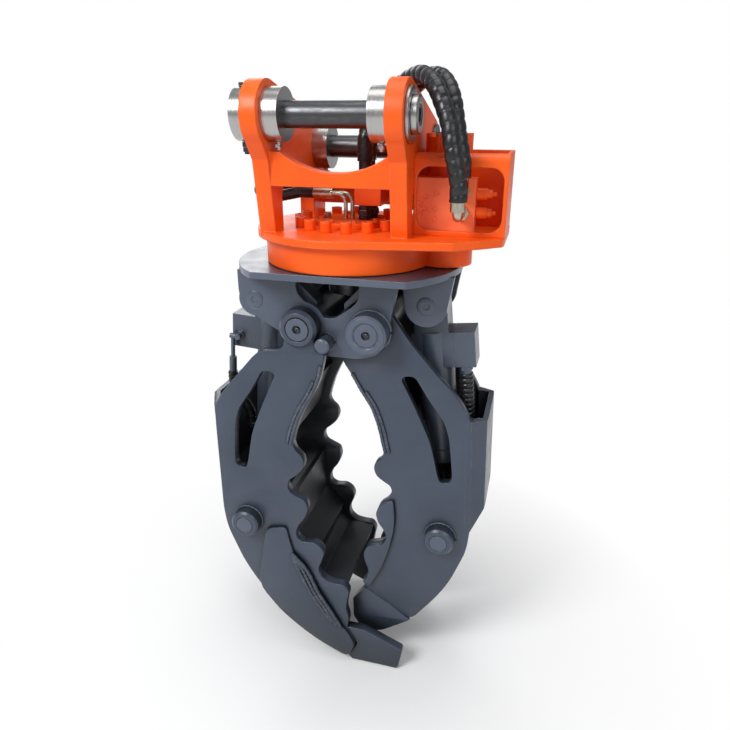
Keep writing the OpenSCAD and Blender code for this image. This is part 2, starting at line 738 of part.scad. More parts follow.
// Motor with its mounting flange, body and end cap
module slew_motor() {
    foot = [1.24 * motor_r, motor_r];
    cap_z = flange_t + 0.68 * motor_h;
    color("orangered") from_ring() translate([pinion_x, 0, 0]) difference() {
        union() {
            translate([0, 0, flange_t]) linear_extrude(flange_t)
                round_box(-foot, foot, 0.24 * motor_r);
            translate([0, 0, flange_t]) cylinder(r = motor_r, h = motor_h - flange_t);
            translate([0, 0, cap_z]) cylinder(r = 1.12 * motor_r, h = flange_t + motor_h - 8 * gap - cap_z);
            translate([0, slew_port_yz[0], slew_port_yz[1]]) x_rod(0.3 * motor_r, -slew_port_out, 0);
            for (i = [0:7]) rotate(22.5 + i * 45)
                translate([motor_r, 0, cap_z]) cylinder(r = 0.16 * motor_r, h = flange_t + motor_h - 5 * gap - cap_z);
        }
        translate([0, 0, flange_t - over]) cylinder(r = shaft_r + run_fit, h = 3 * flange_t);
        for (x = [-1, 1], y = [-1, 1]) translate([x * 1.02 * motor_r, y * 0.78 * motor_r, 0])
            cylinder(r = motor_screw_d / 2 + seat_fit, h = 3 * flange_t);
    }
}

module motor_screws() {
    color("dimgray") from_ring() for (x = [-1, 1], y = [-1, 1])
        translate([pinion_x + x * 1.02 * motor_r, y * 0.78 * motor_r, 0]) {
            translate([0, 0, flange_t]) cylinder(r = motor_screw_d / 2, h = 1.1 * flange_t);
            translate([0, 0, 2 * flange_t]) hex(0.85 * motor_screw_d, 0.6 * motor_screw_d);
        }
}

// Fixed part of the swivel: plate on the flange, port block and stem
module swivel_core() {
    color("orangered") from_ring() {
        translate([0, 0, stem_z]) cylinder(r = stem_r, h = flange_t - stem_z + over);
        translate([0, 0, flange_t]) cylinder(r = swivel_plate_r, h = swivel_plate_t);
        for (i = [0:7]) rotate(22.5 + i * 45)
            translate([0.87 * swivel_plate_r, 0, flange_t + swivel_plate_t - over])
                hex(0.5 * swivel_plate_t, 0.6 * swivel_plate_t);
    }
}

// Block that the feed hoses are screwed to, over the swivel
module swivel_block() {
    color("orangered") from_ring() translate(swivel_low) cube(swivel_high - swivel_low);
}

// Adapters under the block and the ferrules of the feed hoses on it
module swivel_fittings() {
    low = flange_t + swivel_plate_t;
    color("dimgray") from_ring() {
        for (p = adapter_xy) translate([p[0], p[1], low]) {
            cylinder(r = adapter_r, h = swivel_low[2] - low);
            translate([0, 0, 0.3 * (swivel_low[2] - low)]) hex(1.2 * adapter_r, 0.8 * adapter_r);
        }
        for (route = [feed_front_route, feed_rear_route])
            let (end = route[len(route) - 1]) translate([end[0], end[1], swivel_high[2]]) {
                cylinder(r = ferrule_r, h = end[2] - hose_gap - swivel_high[2]);
                hex(1.2 * ferrule_r, 0.8 * ferrule_r);
            }
    }
}

// Turning part of the swivel, carried by the disc
module swivel_sleeve() {
    color("dimgray") from_ring() difference() {
        union() {
            translate([0, 0, sleeve_z]) cylinder(r = sleeve_r, h = -4 * gap - sleeve_z);
            translate([0, 0, head_z - swivel_plate_t]) cylinder(r = 0.86 * inner_race_in, h = swivel_plate_t);
        }
        translate([0, 0, stem_z - gap]) cylinder(r = stem_r + run_fit, h = -stem_z);
    }
}

module slew_valve() {
    color("orangered") from_ring() translate([valve_x, valve_y, flange_t]) difference() {
        cube([valve_w, valve_t, valve_h]);
        for (p = plug_shares) translate([p[0] * valve_w, -over, p[1] * valve_h])
            y_rod(0.6 * tube_r, 0, over + 0.2 * tube_r);
    }
}

module relief_cartridges() {
    color("orangered") from_ring() for (z = cartridge_z)
        translate([valve_x + valve_w, valve_y + valve_t / 2, z]) rotate([0, 90, 0]) {
            cylinder(r = cartridge_r, h = 0.55 * cartridge_l);
            translate([0, 0, 0.55 * cartridge_l]) hex(0.8 * cartridge_r, 0.25 * cartridge_l);
            cylinder(r = 0.4 * cartridge_r, h = cartridge_l);
        }
}

// Elbows between the valve block and the feed hoses
module valve_fittings() {
    color("silver") from_ring() for (i = [0, 1]) translate([fitting_x, 0, fitting_z[i]]) {
        translate([0, valve_y, 0]) rotate([90, 0, 0]) hex(1.15 * fitting_r, fitting_r);
        y_rod(tube_r, feed_y[i] + fitting_bend, valve_y);
        translate([0, feed_y[i] + fitting_bend, fitting_bend]) rotate([0, 90, 0]) rotate(-90)
            rotate_extrude(angle = 90) translate([fitting_bend, 0]) circle(r = tube_r);
    }
}

module hose_ferrules() {
    color("silver") from_ring() for (i = [0, 1]) {
        low = fitting_z[i] + fitting_bend;
        translate([fitting_x, feed_y[i], low]) cylinder(r = ferrule_r, h = feed_start[i] - hose_gap - low);
    }
}

module feed_hose_front() {
    color("black") from_ring() hose(feed_front_route, feed_hose_d, rib_depth, 6);
}

module feed_hose_rear() {
    color("black") from_ring() hose(feed_rear_route, feed_hose_d, rib_depth, 6);
}

module slew_hose() {
    color("black") from_ring() hose(slew_route, hose_d, 0, 2);
}

// Bent tubes from the swivel, with their nuts and the ferrules of the slewing hose
module slew_tubes() {
    route = slew_route[0];
    end = slew_route[len(slew_route) - 1];
    low = flange_t + swivel_plate_t;
    color("silver") from_ring() {
        for (i = [0, 1]) translate([0, route[1] + (2.4 * i - 1.2) * slew_tube_r, 0]) {
            translate([slew_tube_x[i], 0, low]) {
                cylinder(r = slew_tube_r, h = slew_z - slew_bend - low);
                hex(1.1 * slew_tube_r, 2 * slew_tube_r);
            }
            translate([slew_tube_x[i] - slew_bend, 0, slew_z - slew_bend]) rotate([90, 0, 0])
                rotate_extrude(angle = 90) translate([slew_bend, 0]) circle(r = slew_tube_r);
            translate([0, 0, slew_z]) x_rod(slew_tube_r, slew_tube_x[0] - 1.5 * slew_bend - over,
                slew_tube_x[i] - slew_bend);
        }
        translate([slew_plug[0], slew_plug[1], low]) hex(2 * slew_tube_r, 2.4 * slew_tube_r);
        translate([0, route[1], slew_z])
            x_rod(0.48 * hose_d, route[0] + hose_gap, slew_tube_x[0] - 1.5 * slew_bend);
        translate([0, end[1], end[2]])
            x_rod(0.45 * hose_d, end[0] + hose_gap, pinion_x - slew_port_out);
    }
}

// Outline of the head plates, seen from the front
module head_plate_outline() {
    union() {
        translate([-lug_x, -lug_drop]) circle(r = head_lug_r);
        translate([-pivot_x, -pivot_drop]) circle(r = head_eye_r);
        polygon(rounded([[-lug_x - head_lug_r, head_z + over],
            [-lug_x - head_lug_r, -lug_drop],
            [-lug_x, -lug_drop - head_lug_r],
            [-pivot_x - 0.85 * head_eye_r, -pivot_drop - 0.5 * head_eye_r],
            [-pivot_x, -pivot_drop - head_eye_r],
            [-0.38 * pivot_x, -plate_low],
            [0.7 * pivot_x, -plate_low],
            [pivot_x + 0.36 * head_eye_r, -pivot_drop - 1.04 * head_eye_r],
            [pivot_x + 0.67 * head_eye_r, -pivot_drop - 0.38 * head_eye_r],
            [pivot_x + 1.08 * head_eye_r, head_z - 0.46 * head_eye_r],
            [pivot_x + 1.12 * head_eye_r, head_z + over],
            [notch_x[3], head_z + over],
            [notch_x[3], notch_z[2]],
            [notch_x[2], notch_z[1]],
            [notch_x[1], notch_z[1]],
            [notch_x[0], notch_z[0]],
            [notch_x[0], head_z + over]]));
    }
}

// Lug of the right cylinder, seen from the front
module right_lug_outline() {
    translate([lug_x, -lug_drop]) circle(r = lug_r);
    polygon([[lug_x - 1.2 * lug_r, head_z + over], [lug_x - lug_r, -lug_drop],
        [lug_x + lug_r, -lug_drop], [lug_x + 1.25 * lug_r, head_z + over]]);
}

// A short leaning gusset behind the edge of the notch
module notch_gusset(x0, x1) {
    y_plate(-plate_in - over, -plate_in + gusset_l) polygon([[x0, notch_z[0] + 1.2 * plate_t],
        [x0, notch_z[0]], [x1, notch_z[1] + 0.9 * plate_t], [x1, notch_z[1] + 1.7 * plate_t]]);
}

module head_frame() {
    color("slategray") from_ring() difference() {
        union() {
            translate([0, 0, head_z]) linear_extrude(disc_t) intersection() {
                circle(r = disc_r, $fn = 96);
                square([3 * disc_r, disc_depth], center = true);
            }
            both_faces() {
                y_plate(-plate_y, -plate_in) head_plate_outline();
                y_plate(-lug_out, -lug_in) right_lug_outline();
                translate([pivot_x, 0, -pivot_drop]) y_rod(boss_r, -boss_out, -plate_y + over);
            }
            translate([-pivot_x, 0, -pivot_drop]) y_rod(hub_r, -plate_in - over, plate_in + over);
            both_faces() {
                notch_gusset(notch_x[0] - over, notch_x[1] - plate_t);
                notch_gusset(notch_x[3] + over, notch_x[2] + plate_t);
            }
        }
        translate([0, 0, sleeve_z - gap]) cylinder(r = sleeve_r + gap, h = disc_z - sleeve_z + 2 * gap);
        for (side = [-1, 1]) {
            translate([side * pivot_x, 0, -pivot_drop])
                y_rod(pivot_r + seat_fit, -boss_out - over, boss_out + over);
            both_faces() translate([side * pivot_x, 0, -pivot_drop])
                y_rod(pivot_r + gap / 2, -boss_out - over, -boss_out + gap);
            translate([side * lug_x, 0, -lug_drop])
                y_rod(ram_r + seat_fit, -plate_y - over, plate_y + over);
        }
        translate([stop_x, 0, stop_z]) y_rod(stop_d / 2 + seat_fit, -plate_y - over, plate_y + over);
        disc_screw_places() translate([0, 0, -disc_t - over])
            cylinder(r = disc_screw_d / 2 + seat_fit, h = disc_t + 2 * over);
    }
}

// Pin of a jaw, with a recess in each end for its nipple
module pivot_pin(side) {
    from_ring() translate([side * pivot_x, 0, -pivot_drop]) difference() {
        y_rod(pivot_r, -boss_out, boss_out);
        both_faces() y_rod(0.4 * pivot_r, -boss_out - over, -boss_out + 0.3 * pivot_r);
    }
}

module left_pivot_pin() {
    color("slategray") pivot_pin(-1);
}

module right_pivot_pin() {
    color("slategray") pivot_pin(1);
}

module pivot_nipples() {
    color("silver") from_ring() both_faces() for (side = [-1, 1])
        translate([side * pivot_x, 0, -pivot_drop])
            y_rod(0.16 * pivot_r, -boss_out + 0.08 * pivot_r, -boss_out + 0.3 * pivot_r);
}

module stop_pin() {
    color("slategray") from_ring() translate([stop_x, 0, stop_z])
        y_rod(stop_d / 2, -plate_y - 0.6 * stop_d, plate_y + 0.6 * stop_d);
}

module left_ram_pin() {
    color("slategray") from_ring() translate([-lug_x, 0, -lug_drop]) y_rod(ram_r, -plate_y, plate_y);
}

module right_ram_pin() {
    color("slategray") from_ring() translate([lug_x, 0, -lug_drop]) y_rod(ram_r, -lug_out, lug_out);
}

// Tubes that centre the left cylinder on its pin
module ram_spacers() {
    color("slategray") from_ring() both_faces() translate([-lug_x, 0, -lug_drop]) difference() {
        y_rod(0.75 * head_lug_r, -plate_in, -eye_half - gap);
        y_rod(ram_r + seat_fit, -plate_y, -eye_half + over);
    }
}

// Walls between the plates of a jaw: the bent back wall and the inner wall
module jaw_walls(inside, outside) {
    edge = back_edge_share * jaw_len;
    side = back_side_share * jaw_len;
    w = jaw_wall;
    half = back_side_half;
    low = back_low_share * jaw_len;
    side_low = back_side_low_share * jaw_len;
    h = back_top_share * jaw_len - low;
    slope = (side_low - low) / (side - edge);
    difference() {
        translate([0, 0, low]) linear_extrude(h) polygon([[edge - w, -outside], [edge, -outside],
            [side, -half], [side, half], [edge, outside], [edge - w, outside]]);
        difference() {
            translate([0, 0, low - over]) linear_extrude(h + 2 * over)
                polygon([[edge - 2 * w, -inside], [edge - w / 2, -inside], [side - w, -half + w / 2],
                    [side - w, half - w / 2], [edge - w / 2, inside], [edge - 2 * w, inside]]);
            // Slanting bottom of the back wall
            y_plate(-outside, outside) polygon([[edge, low], [side, side_low],
                [side, side_low + 2 * w], [edge, low + 2 * w]]);
        }
        y_plate(-outside - over, outside + over) polygon([[edge, low - over],
            [side + over, low - over], [side + over, side_low + over * slope], [edge, low]]);
    }
    inner_wall(inner_wall_shares, inside);
}

// A wall between a jaw's plates along a line of points
module inner_wall(shares, inside) {
    s = [for (p = shares) jaw_len * p];
    y_plate(-inside - over, inside + over)
        polygon(concat(s, [for (i = [len(s) - 1:-1:0]) s[i] + [jaw_wall, 0]]));
}

// Boss of a lower cylinder pin, from the rod eye out through the jaw plate
module toe_boss(lean, outside) {
    y_rod(toe_boss_r, -outside - toe_boss_out, -rod_eye_half - gap);
}

module left_jaw() {
    color("slategray") from_ring() left_side() difference() {
        union() {
            both_faces() {
                y_plate(-left_out, -left_in) difference() {
                    union() {
                        polygon(jaw_len * concat(rounded(concat(left_top_shares, back_shares)),
                            left_end_shares, rounded(left_edge_shares)));
                        translate([-0.8 * boss_r, -1.6 * boss_r]) square([1.6 * boss_r, 1.6 * boss_r]);
                    }
                    polygon(jaw_len * rounded(slot_shares));
                }
                y_rod(boss_r, -boss_out, -left_in);
                translate([toe(0)[0], 0, toe(0)[1]]) toe_boss(0, left_out);
            }
            jaw_walls(left_in, left_out);
            y_plate(-left_in - over, left_in + over) polygon(jaw_len * concat(cross_shares,
                [for (i = [1, 0]) cross_shares[i] - [0, cross_low / jaw_len]]));
        }
        both_faces() {
            y_rod(bush_r + seat_fit, -boss_out + lip_t, -left_in + over);
            y_rod(pivot_r + gap / 2, -boss_out - over, -left_in);
        }
        translate([toe(0)[0], 0, toe(0)[1]])
            y_rod(toe_pin_r + seat_fit, -left_out - toe_boss_out - over, left_out + toe_boss_out + over);
    }
}

module left_tips() {
    color("dimgray") from_ring() left_side() both_faces()
        y_plate(-left_out, -left_in) polygon(jaw_len * left_tip_shares);
}

module left_wear_plates() {
    color("slategray") from_ring() left_side() both_faces()
        y_plate(-left_out - wear_t, -left_out) polygon(jaw_len * left_wear_shares);
}

// Bush of a jaw pivot between two planes
module bush(y0, y1) {
    difference() {
        y_rod(bush_r, y0, y1);
        y_rod(pivot_r + run_fit, y0 - over, y1 + over);
    }
}

module left_bushes() {
    color("darkgoldenrod") from_ring() left_side() both_faces()
        bush(-boss_out + lip_t + seat_fit, -left_in);
}

module left_toe_pin() {
    color("slategray") from_ring() left_side() translate([toe(0)[0], 0, toe(0)[1]])
        y_rod(toe_pin_r, -left_out - toe_boss_out, left_out + toe_boss_out);
}

module right_jaw() {
    color("slategray") from_ring() right_side(right_lean) difference() {
        union() {
            both_faces() {
                y_plate(-right_out, -right_in) difference() {
                    union() {
                        polygon(jaw_len * concat(rounded(concat(right_top_shares, back_shares)),
                            right_end_shares, rounded(right_edge_shares)));
                        circle(r = 0.0615 * jaw_len);
                    }
                    polygon(jaw_len * rounded(slot_shares));
                }
                translate([toe(0)[0], 0, toe(0)[1]]) toe_boss(0, right_out);
            }
            y_rod(hub_r, -right_out, right_out);
            jaw_walls(right_in, right_out);
            inner_wall(right_wall_shares, right_in);
        }
        y_rod(bush_r + seat_fit, -right_out - over, -0.6 * right_out);
        y_rod(bush_r + seat_fit, 0.6 * right_out, right_out + over);
        y_rod(pivot_r + gap, -right_out, right_out);
        translate([toe(0)[0], 0, toe(0)[1]]) y_rod(toe_pin_r + seat_fit,
            -right_out - toe_boss_out - over, right_out + toe_boss_out + over);
    }
}

module right_tips() {
    color("dimgray") from_ring() right_side(right_lean) both_faces()
        y_plate(-right_out, -right_in) polygon(jaw_len * right_tip_shares);
}

module right_wear_plates() {
    color("slategray") from_ring() right_side(right_lean) both_faces()
        y_plate(-right_out - wear_t, -right_out) polygon(jaw_len * right_wear_shares);
}

module right_bushes() {
    color("darkgoldenrod") from_ring() right_side(right_lean) both_faces()
        bush(-right_out, -0.6 * right_out);
}

module right_toe_pin() {
    color("slategray") from_ring() right_side(right_lean) translate([toe(0)[0], 0, toe(0)[1]])
        y_rod(toe_pin_r, -right_out - toe_boss_out, right_out + toe_boss_out);
}

// Barrel with its eye and cap block, hanging from the upper pin
module barrel() {
    difference() {
        union() {
            y_rod(eye_r, -eye_half, eye_half);
            translate([-eye_r, -block_w / 2, -cap_low]) cube([2 * eye_r, block_w, cap_low]);
            translate([-cap_in, -block_w / 2, -cap_low]) cube([2 * cap_in, block_w, cap_low - cap_top]);
            translate([0, 0, -barrel_len + gland_l]) cylinder(r = barrel_d / 2, h = barrel_len - gland_l - cap_top);
        }
        y_rod(ram_r + run_fit, -eye_half - over, eye_half + over);
        translate([0, 0, -barrel_len]) cylinder(r = piston_r + run_fit, h = barrel_len - cap_low + 2 * gap);
    }
}

module gland() {
    difference() {
        union() {
            translate([0, 0, -barrel_len]) cylinder(r = gland_r, h = gland_l);
            translate([0, 0, -barrel_len]) cylinder(r = piston_r, h = 1.6 * gland_l);
        }
        translate([0, 0, -barrel_len - over]) cylinder(r = rod_d / 2 + run_fit, h = 2 * gland_l);
    }
}

// Piston rod with its eye; the hole in the eye has room for the open pivot
module rod(lean) {
    length = ram_len(lean);
    difference() {
        union() {
            translate([0, 0, -length]) cylinder(r = rod_d / 2, h = length - cap_low - 2 * gap - piston_l);
            translate([0, 0, -length]) y_rod(rod_eye_r, -rod_eye_half, rod_eye_half);
        }
        translate([0, 0, -length]) y_rod(toe_pin_r + eye_room, -rod_eye_half - over, rod_eye_half + over);
        rod_seat(lean);
    }
}

// Where the piston sits on the rod, with the cylinder fully out at rest
function piston_low(lean) = barrel_len - 1.6 * gland_l - 3 * gap;

module rod_seat(lean) {
    difference() {
        translate([0, 0, -piston_low(lean)]) cylinder(r = rod_d, h = barrel_len);
        translate([0, 0, -piston_low(lean) - over]) cylinder(r = 0.35 * rod_d, h = piston_l + over);
    }
}

module piston(lean) {
    translate([0, 0, -piston_low(lean)]) difference() {
        cylinder(r = piston_r - run_fit, h = piston_l);
        translate([0, 0, -over]) cylinder(r = 0.35 * rod_d + seat_fit, h = piston_l + 2 * over);
    }
}

// Block on the outer side of the cap, and the elbow of its hose at the gland
module ram_valve(route) {
    end = route[len(route) - 1];
    elbow_r = 0.36 * hose_d;
    translate([cap_in, -block_w / 2, -cap_low]) cube([valve_out - cap_in, block_w, cap_low - cap_top]);
    translate([end[0], end[1], -port_drop]) {
        x_rod(elbow_r, gland_r - end[0], 0);
        sphere(r = 1.17 * elbow_r);
        cylinder(r = elbow_r, h = port_drop - end[2] - hose_gap);
    }
}

// Ferrule under the block
module hose_head(start) {
    translate([start[0], start[1], -start[2] + hose_gap])
        cylinder(r = 0.55 * hose_d, h = start[2] - hose_gap - cap_low);
    translate([start[0], start[1], -cap_low - 0.4 * hose_d]) hex(0.66 * hose_d, 0.4 * hose_d);
}

// Elbow out of the front of the block, steel tube and ferrule
module side_elbow(start) {
    elbow_r = 0.3 * hose_d;
    stub_x = start[0] - elbow_out;
    translate([stub_x, 0, -elbow_drop]) {
        y_rod(elbow_r, start[1] - elbow_r, -block_w / 2);
        translate([0, -block_w / 2, 0]) rotate([90, 0, 0]) hex(1.6 * elbow_r, 0.8 * elbow_r);
    }
    translate([0, start[1], -elbow_drop]) x_rod(0.9 * elbow_r, stub_x, start[0] + 0.9 * elbow_r);
    translate([start[0], start[1], -start[2] + hose_gap]) {
        cylinder(r = 0.7 * elbow_r, h = start[2] - hose_gap - elbow_drop);
        cylinder(r = 1.25 * elbow_r, h = 1.6 * hose_d);
    }
}

module ram_hose(route, d, depth) {
    hose([for (p = route) [p[0], p[1], -p[2]]], d, depth, 4);
}

module left_barrel() {
    color("slategray") from_ring() left_ram() barrel();
}

module left_gland() {
    color("slategray") from_ring() left_ram() gland();
}

module left_rod() {
    color("silver") from_ring() left_ram() rod(0);
}

module left_piston() {
    color("dimgray") from_ring() left_ram() piston(0);
}

module left_ram_valve() {
    color("slategray") from_ring() left_ram() {
        ram_valve(left_hose_route);
        side_elbow(left_hose_route[0]);
    }
}

module left_ram_hose() {
    color("black") from_ring() left_ram() ram_hose(left_hose_route, hose_d, 0.5 * rib_depth);
}

module right_barrel() {
    color("slategray") from_ring() right_ram(right_lean) barrel();
}

module right_gland() {
    color("slategray") from_ring() right_ram(right_lean) gland();
}

module right_rod() {
    color("silver") from_ring() right_ram(right_lean) rod(right_lean);
}

module right_piston() {
    color("dimgray") from_ring() right_ram(right_lean) piston(right_lean);
}

module right_ram_valve() {
    color("slategray") from_ring() right_ram(right_lean) {
        ram_valve(right_hose_route);
        hose_head(right_hose_route[0]);
    }
}

module right_ram_hose() {
    color("black") from_ring() right_ram(right_lean) ram_hose(right_hose_route, ribbed_hose_d, rib_depth);
}

hanger_frame();
guard_box();
stick_collars();
link_collars();
stick_pin();
link_pin();
cross_bolts();
cross_nuts();
collar_screws();
ring_cover();
inner_race();
bearing_balls();
flange_screws();
slew_motor();
motor_screws();
swivel_core();
swivel_block();
swivel_fittings();
slew_valve();
relief_cartridges();
valve_fittings();
feed_hose_front();
feed_hose_rear();
hose_ferrules();
slew_hose();
slew_tubes();
drive_pinion();
head_frame();
gear_race();
disc_screws();
swivel_sleeve();
left_pivot_pin();
right_pivot_pin();
pivot_nipples();
stop_pin();
left_ram_pin();
right_ram_pin();
ram_spacers();
left_jaw();
left_tips();
left_wear_plates();
left_bushes();
left_toe_pin();
right_jaw();
right_tips();
right_wear_plates();
right_bushes();
right_toe_pin();
left_barrel();
left_gland();
left_rod();
left_piston();
left_ram_valve();
left_ram_hose();
right_barrel();
right_gland();
right_rod();
right_piston();
right_ram_valve();
right_ram_hose();
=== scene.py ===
"""Looks of a rotating excavator grapple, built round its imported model. Metres."""
import json
import math

import bmesh
import bpy
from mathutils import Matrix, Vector


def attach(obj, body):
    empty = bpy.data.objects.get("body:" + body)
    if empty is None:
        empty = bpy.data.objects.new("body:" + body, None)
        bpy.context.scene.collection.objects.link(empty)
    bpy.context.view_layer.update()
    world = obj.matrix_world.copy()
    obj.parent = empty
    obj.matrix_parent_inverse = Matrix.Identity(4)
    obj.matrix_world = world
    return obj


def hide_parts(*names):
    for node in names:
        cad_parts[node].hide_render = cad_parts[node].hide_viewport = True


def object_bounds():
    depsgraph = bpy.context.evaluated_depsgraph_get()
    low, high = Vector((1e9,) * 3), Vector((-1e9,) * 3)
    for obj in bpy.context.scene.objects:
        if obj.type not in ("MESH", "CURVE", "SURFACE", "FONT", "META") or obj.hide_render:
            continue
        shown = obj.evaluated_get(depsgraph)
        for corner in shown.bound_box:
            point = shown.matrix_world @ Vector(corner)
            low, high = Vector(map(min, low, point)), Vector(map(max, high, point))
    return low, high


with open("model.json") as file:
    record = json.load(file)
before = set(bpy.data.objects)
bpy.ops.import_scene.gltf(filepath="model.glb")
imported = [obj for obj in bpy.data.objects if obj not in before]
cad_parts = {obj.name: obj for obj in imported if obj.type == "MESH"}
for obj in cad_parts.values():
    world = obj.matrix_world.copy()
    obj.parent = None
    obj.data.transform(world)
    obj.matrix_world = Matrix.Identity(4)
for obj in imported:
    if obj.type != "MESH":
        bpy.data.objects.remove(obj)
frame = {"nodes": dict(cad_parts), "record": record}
cad_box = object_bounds()
nodes = frame["nodes"]

# The slewing axis at the underside of the flange, seen from the stick pin
RING = Vector((0, 0.143, -0.243))
# Camera, solved from the photograph: the place it looks at, the way back from there and how far
TARGET = Vector((0.0315, 0.143, -0.5584))
BACK = Vector((0.2450, -0.8956, 0.3714))
DISTANCE = 1.545
FOCAL_PX, PHOTO_WIDTH, SENSOR = 648.5, 730, 36
FLOOR_Z = cad_box[0][2] - 0.002


def ring(x, y, z):
    """A place given in millimetres from the slewing axis at the underside of the flange."""
    return RING + Vector((x, y, z)) / 1000


# Places across the front, outwards or to the right, then up, in millimetres from that axis
LEFT, RIGHT = -1, 1
PIVOT = (76, -185)
RAM_TOP = (186, -136)
STOP_PIN = (-20, -217)
# The stick pin's place to the rear, then up
STICK_PIN = (-143, 243)
# How far each cylinder and jaw leans at rest
RAM_LEAN = {LEFT: math.radians(4.201), RIGHT: math.radians(5.969)}
JAW_LEAN = {LEFT: 0.0, RIGHT: math.radians(1.9)}


def at_ram(side, out, rear, down):
    """A place seen from a cylinder's upper pin, with the cylinder hanging along its own axis."""
    c, s = math.cos(RAM_LEAN[side]), math.sin(RAM_LEAN[side])
    return ring(side * (RAM_TOP[0] + out * c + down * s), rear, RAM_TOP[1] + out * s - down * c)


def at_jaw(side, out, rear, up):
    """A place seen from a jaw's pivot."""
    c, s = math.cos(JAW_LEAN[side]), math.sin(JAW_LEAN[side])
    return ring(side * (PIVOT[0] + out * c - up * s), rear, PIVOT[1] + out * s + up * c)


X, Y = Vector((1, 0, 0)), Vector((0, 1, 0))


# Camera
cam_data = bpy.data.cameras.new("camera")
cam_data.sensor_width = SENSOR
cam_data.lens = SENSOR * FOCAL_PX / PHOTO_WIDTH
cam_data.clip_end = 60
camera = bpy.data.objects.new("camera", cam_data)
camera.location = TARGET + DISTANCE * BACK
camera.rotation_euler = (-BACK).to_track_quat("-Z", "Y").to_euler()
bpy.context.scene.collection.objects.link(camera)
bpy.context.scene.camera = camera
bpy.context.scene.view_settings.view_transform = "Standard"


# Materials
class Nodes:
    """Short calls for a material's node tree."""

    def __init__(self, name):
        self.material = bpy.data.materials.new(name)
        self.material.use_nodes = True
        self.tree = self.material.node_tree
        self.shader = self.tree.nodes["Principled BSDF"]
        self.coords = self.add("ShaderNodeTexCoord").outputs["Object"]

    def add(self, kind, **values):
        node = self.tree.nodes.new(kind)
        for key, value in values.items():
            if hasattr(node, key) and key not in node.inputs:
                setattr(node, key, value)
            else:
                node.inputs[key].default_value = value
        return node

    def link(self, a, b):
        self.tree.links.new(a, b)

    def noise(self, scale, detail, rough, stretch=None):
        node = self.add("ShaderNodeTexNoise", Scale=scale, Detail=detail, Roughness=rough)
        source = self.coords
        if stretch:
            mapping = self.add("ShaderNodeMapping")
            mapping.inputs["Scale"].default_value = stretch
            self.link(source, mapping.inputs["Vector"])
            source = mapping.outputs["Vector"]
        self.link(source, node.inputs["Vector"])
        return node.outputs["Fac"]

    def ramp(self, value, low, high, a=0.0, b=1.0):
        node = self.add("ShaderNodeMapRange")
        self.link(value, node.inputs["Value"])
        for key, number in zip(("From Min", "From Max", "To Min", "To Max"), (low, high, a, b)):
            node.inputs[key].default_value = number
        return node.outputs["Result"]

    def math(self, operation, a, b):
        node = self.add("ShaderNodeMath", operation=operation)
        for socket, value in zip(node.inputs, (a, b)):
            if isinstance(value, float):
                socket.default_value = value
            else:
                self.link(value, socket)
        return node.outputs["Value"]

    def mix(self, factor, a, b):
        node = self.add("ShaderNodeMix", data_type="RGBA")
        sockets = [s for s in node.inputs if s.type == "RGBA"]
        for socket, value in zip(sockets, (a, b)):
            if isinstance(value, tuple):
                socket.default_value = (*value, 1)
            else:
                self.link(value, socket)
        self.link(factor, node.inputs[0])
        return [s for s in node.outputs if s.type == "RGBA"][0]

    def edges(self, radius):
        """Normal with rounded edges, and how close a point is to an edge."""
        bevel = self.add("ShaderNodeBevel", samples=6)
        bevel.inputs["Radius"].default_value = radius
        flat = self.add("ShaderNodeNewGeometry").outputs["Normal"]
        dot = self.add("ShaderNodeVectorMath", operation="DOT_PRODUCT")
        self.link(bevel.outputs["Normal"], dot.inputs[0])
        self.link(flat, dot.inputs[1])
        return bevel.outputs["Normal"], self.ramp(dot.outputs["Value"], 0.995, 0.86)

    def bump(self, height, strength, distance, normal=None):
        node = self.add("ShaderNodeBump")
        node.inputs["Strength"].default_value = strength
        node.inputs["Distance"].default_value = distance
        self.link(height, node.inputs["Height"])
        if normal is not None:
            self.link(normal, node.inputs["Normal"])
        return node.outputs["Normal"]


# Painted shade in hollows: how far the occlusion mask reaches, and the near-black colour it darkens
# towards
PAINTED_SHADE_REACH = 0.42
PAINTED_SHADE_COLOUR = (0.006, 0.006, 0.007)


def paint(name, colour, shade, worn, rough, edge, wear, dirt, dirt_amount,
          coat=0.0, gloss=0.5, hollow_painted_shade=0.0):
    """Sprayed paint: soft tone changes, rubbed edges, dust, orange-peel skin, and painted shade
    that darkens hollows towards near-black.
    """
    n = Nodes(name)
    normal, near_edge = n.edges(edge)
    cloud = n.ramp(n.noise(7.0, 4.0, 0.6), 0.35, 0.7)
    tone = n.mix(cloud, colour, shade)
    specks = n.ramp(n.noise(160.0, 5.0, 0.7), 0.60, 0.78)
    grime = n.math("MULTIPLY", specks,
                   n.ramp(n.noise(11.0, 3.0, 0.6), 0.45, 0.75, 0.0, dirt_amount))
    tone = n.mix(grime, tone, dirt)
    chips = n.ramp(n.noise(70.0, 6.0, 0.7), 0.48, 0.66)
    rub = n.math("MULTIPLY", near_edge, n.ramp(chips, 0.0, 1.0, 0.25 * wear, wear))
    tone = n.mix(rub, tone, worn)
    # Painted shade: an ambient-occlusion mask darkens the colour in hollows, recesses and between
    # parts, where shade falls
    if hollow_painted_shade:
        painted_shade_mask = n.add("ShaderNodeAmbientOcclusion", samples=6, Distance=PAINTED_SHADE_REACH)
        tone = n.mix(n.ramp(painted_shade_mask.outputs["AO"], 0.76, 0.42, 0.0, hollow_painted_shade), tone, PAINTED_SHADE_COLOUR)
    n.link(tone, n.shader.inputs["Base Color"])
    n.link(n.ramp(n.noise(24.0, 4.0, 0.6), 0.3, 0.7, rough - 0.06, rough + 0.1),
           n.shader.inputs["Roughness"])
    n.shader.inputs["Specular IOR Level"].default_value = gloss
    n.shader.inputs["Coat Weight"].default_value = coat
    n.shader.inputs["Coat Roughness"].default_value = 0.18
    n.link(n.bump(n.noise(420.0, 2.0, 0.5), 0.12, 0.0006, normal), n.shader.inputs["Normal"])
    return n.material


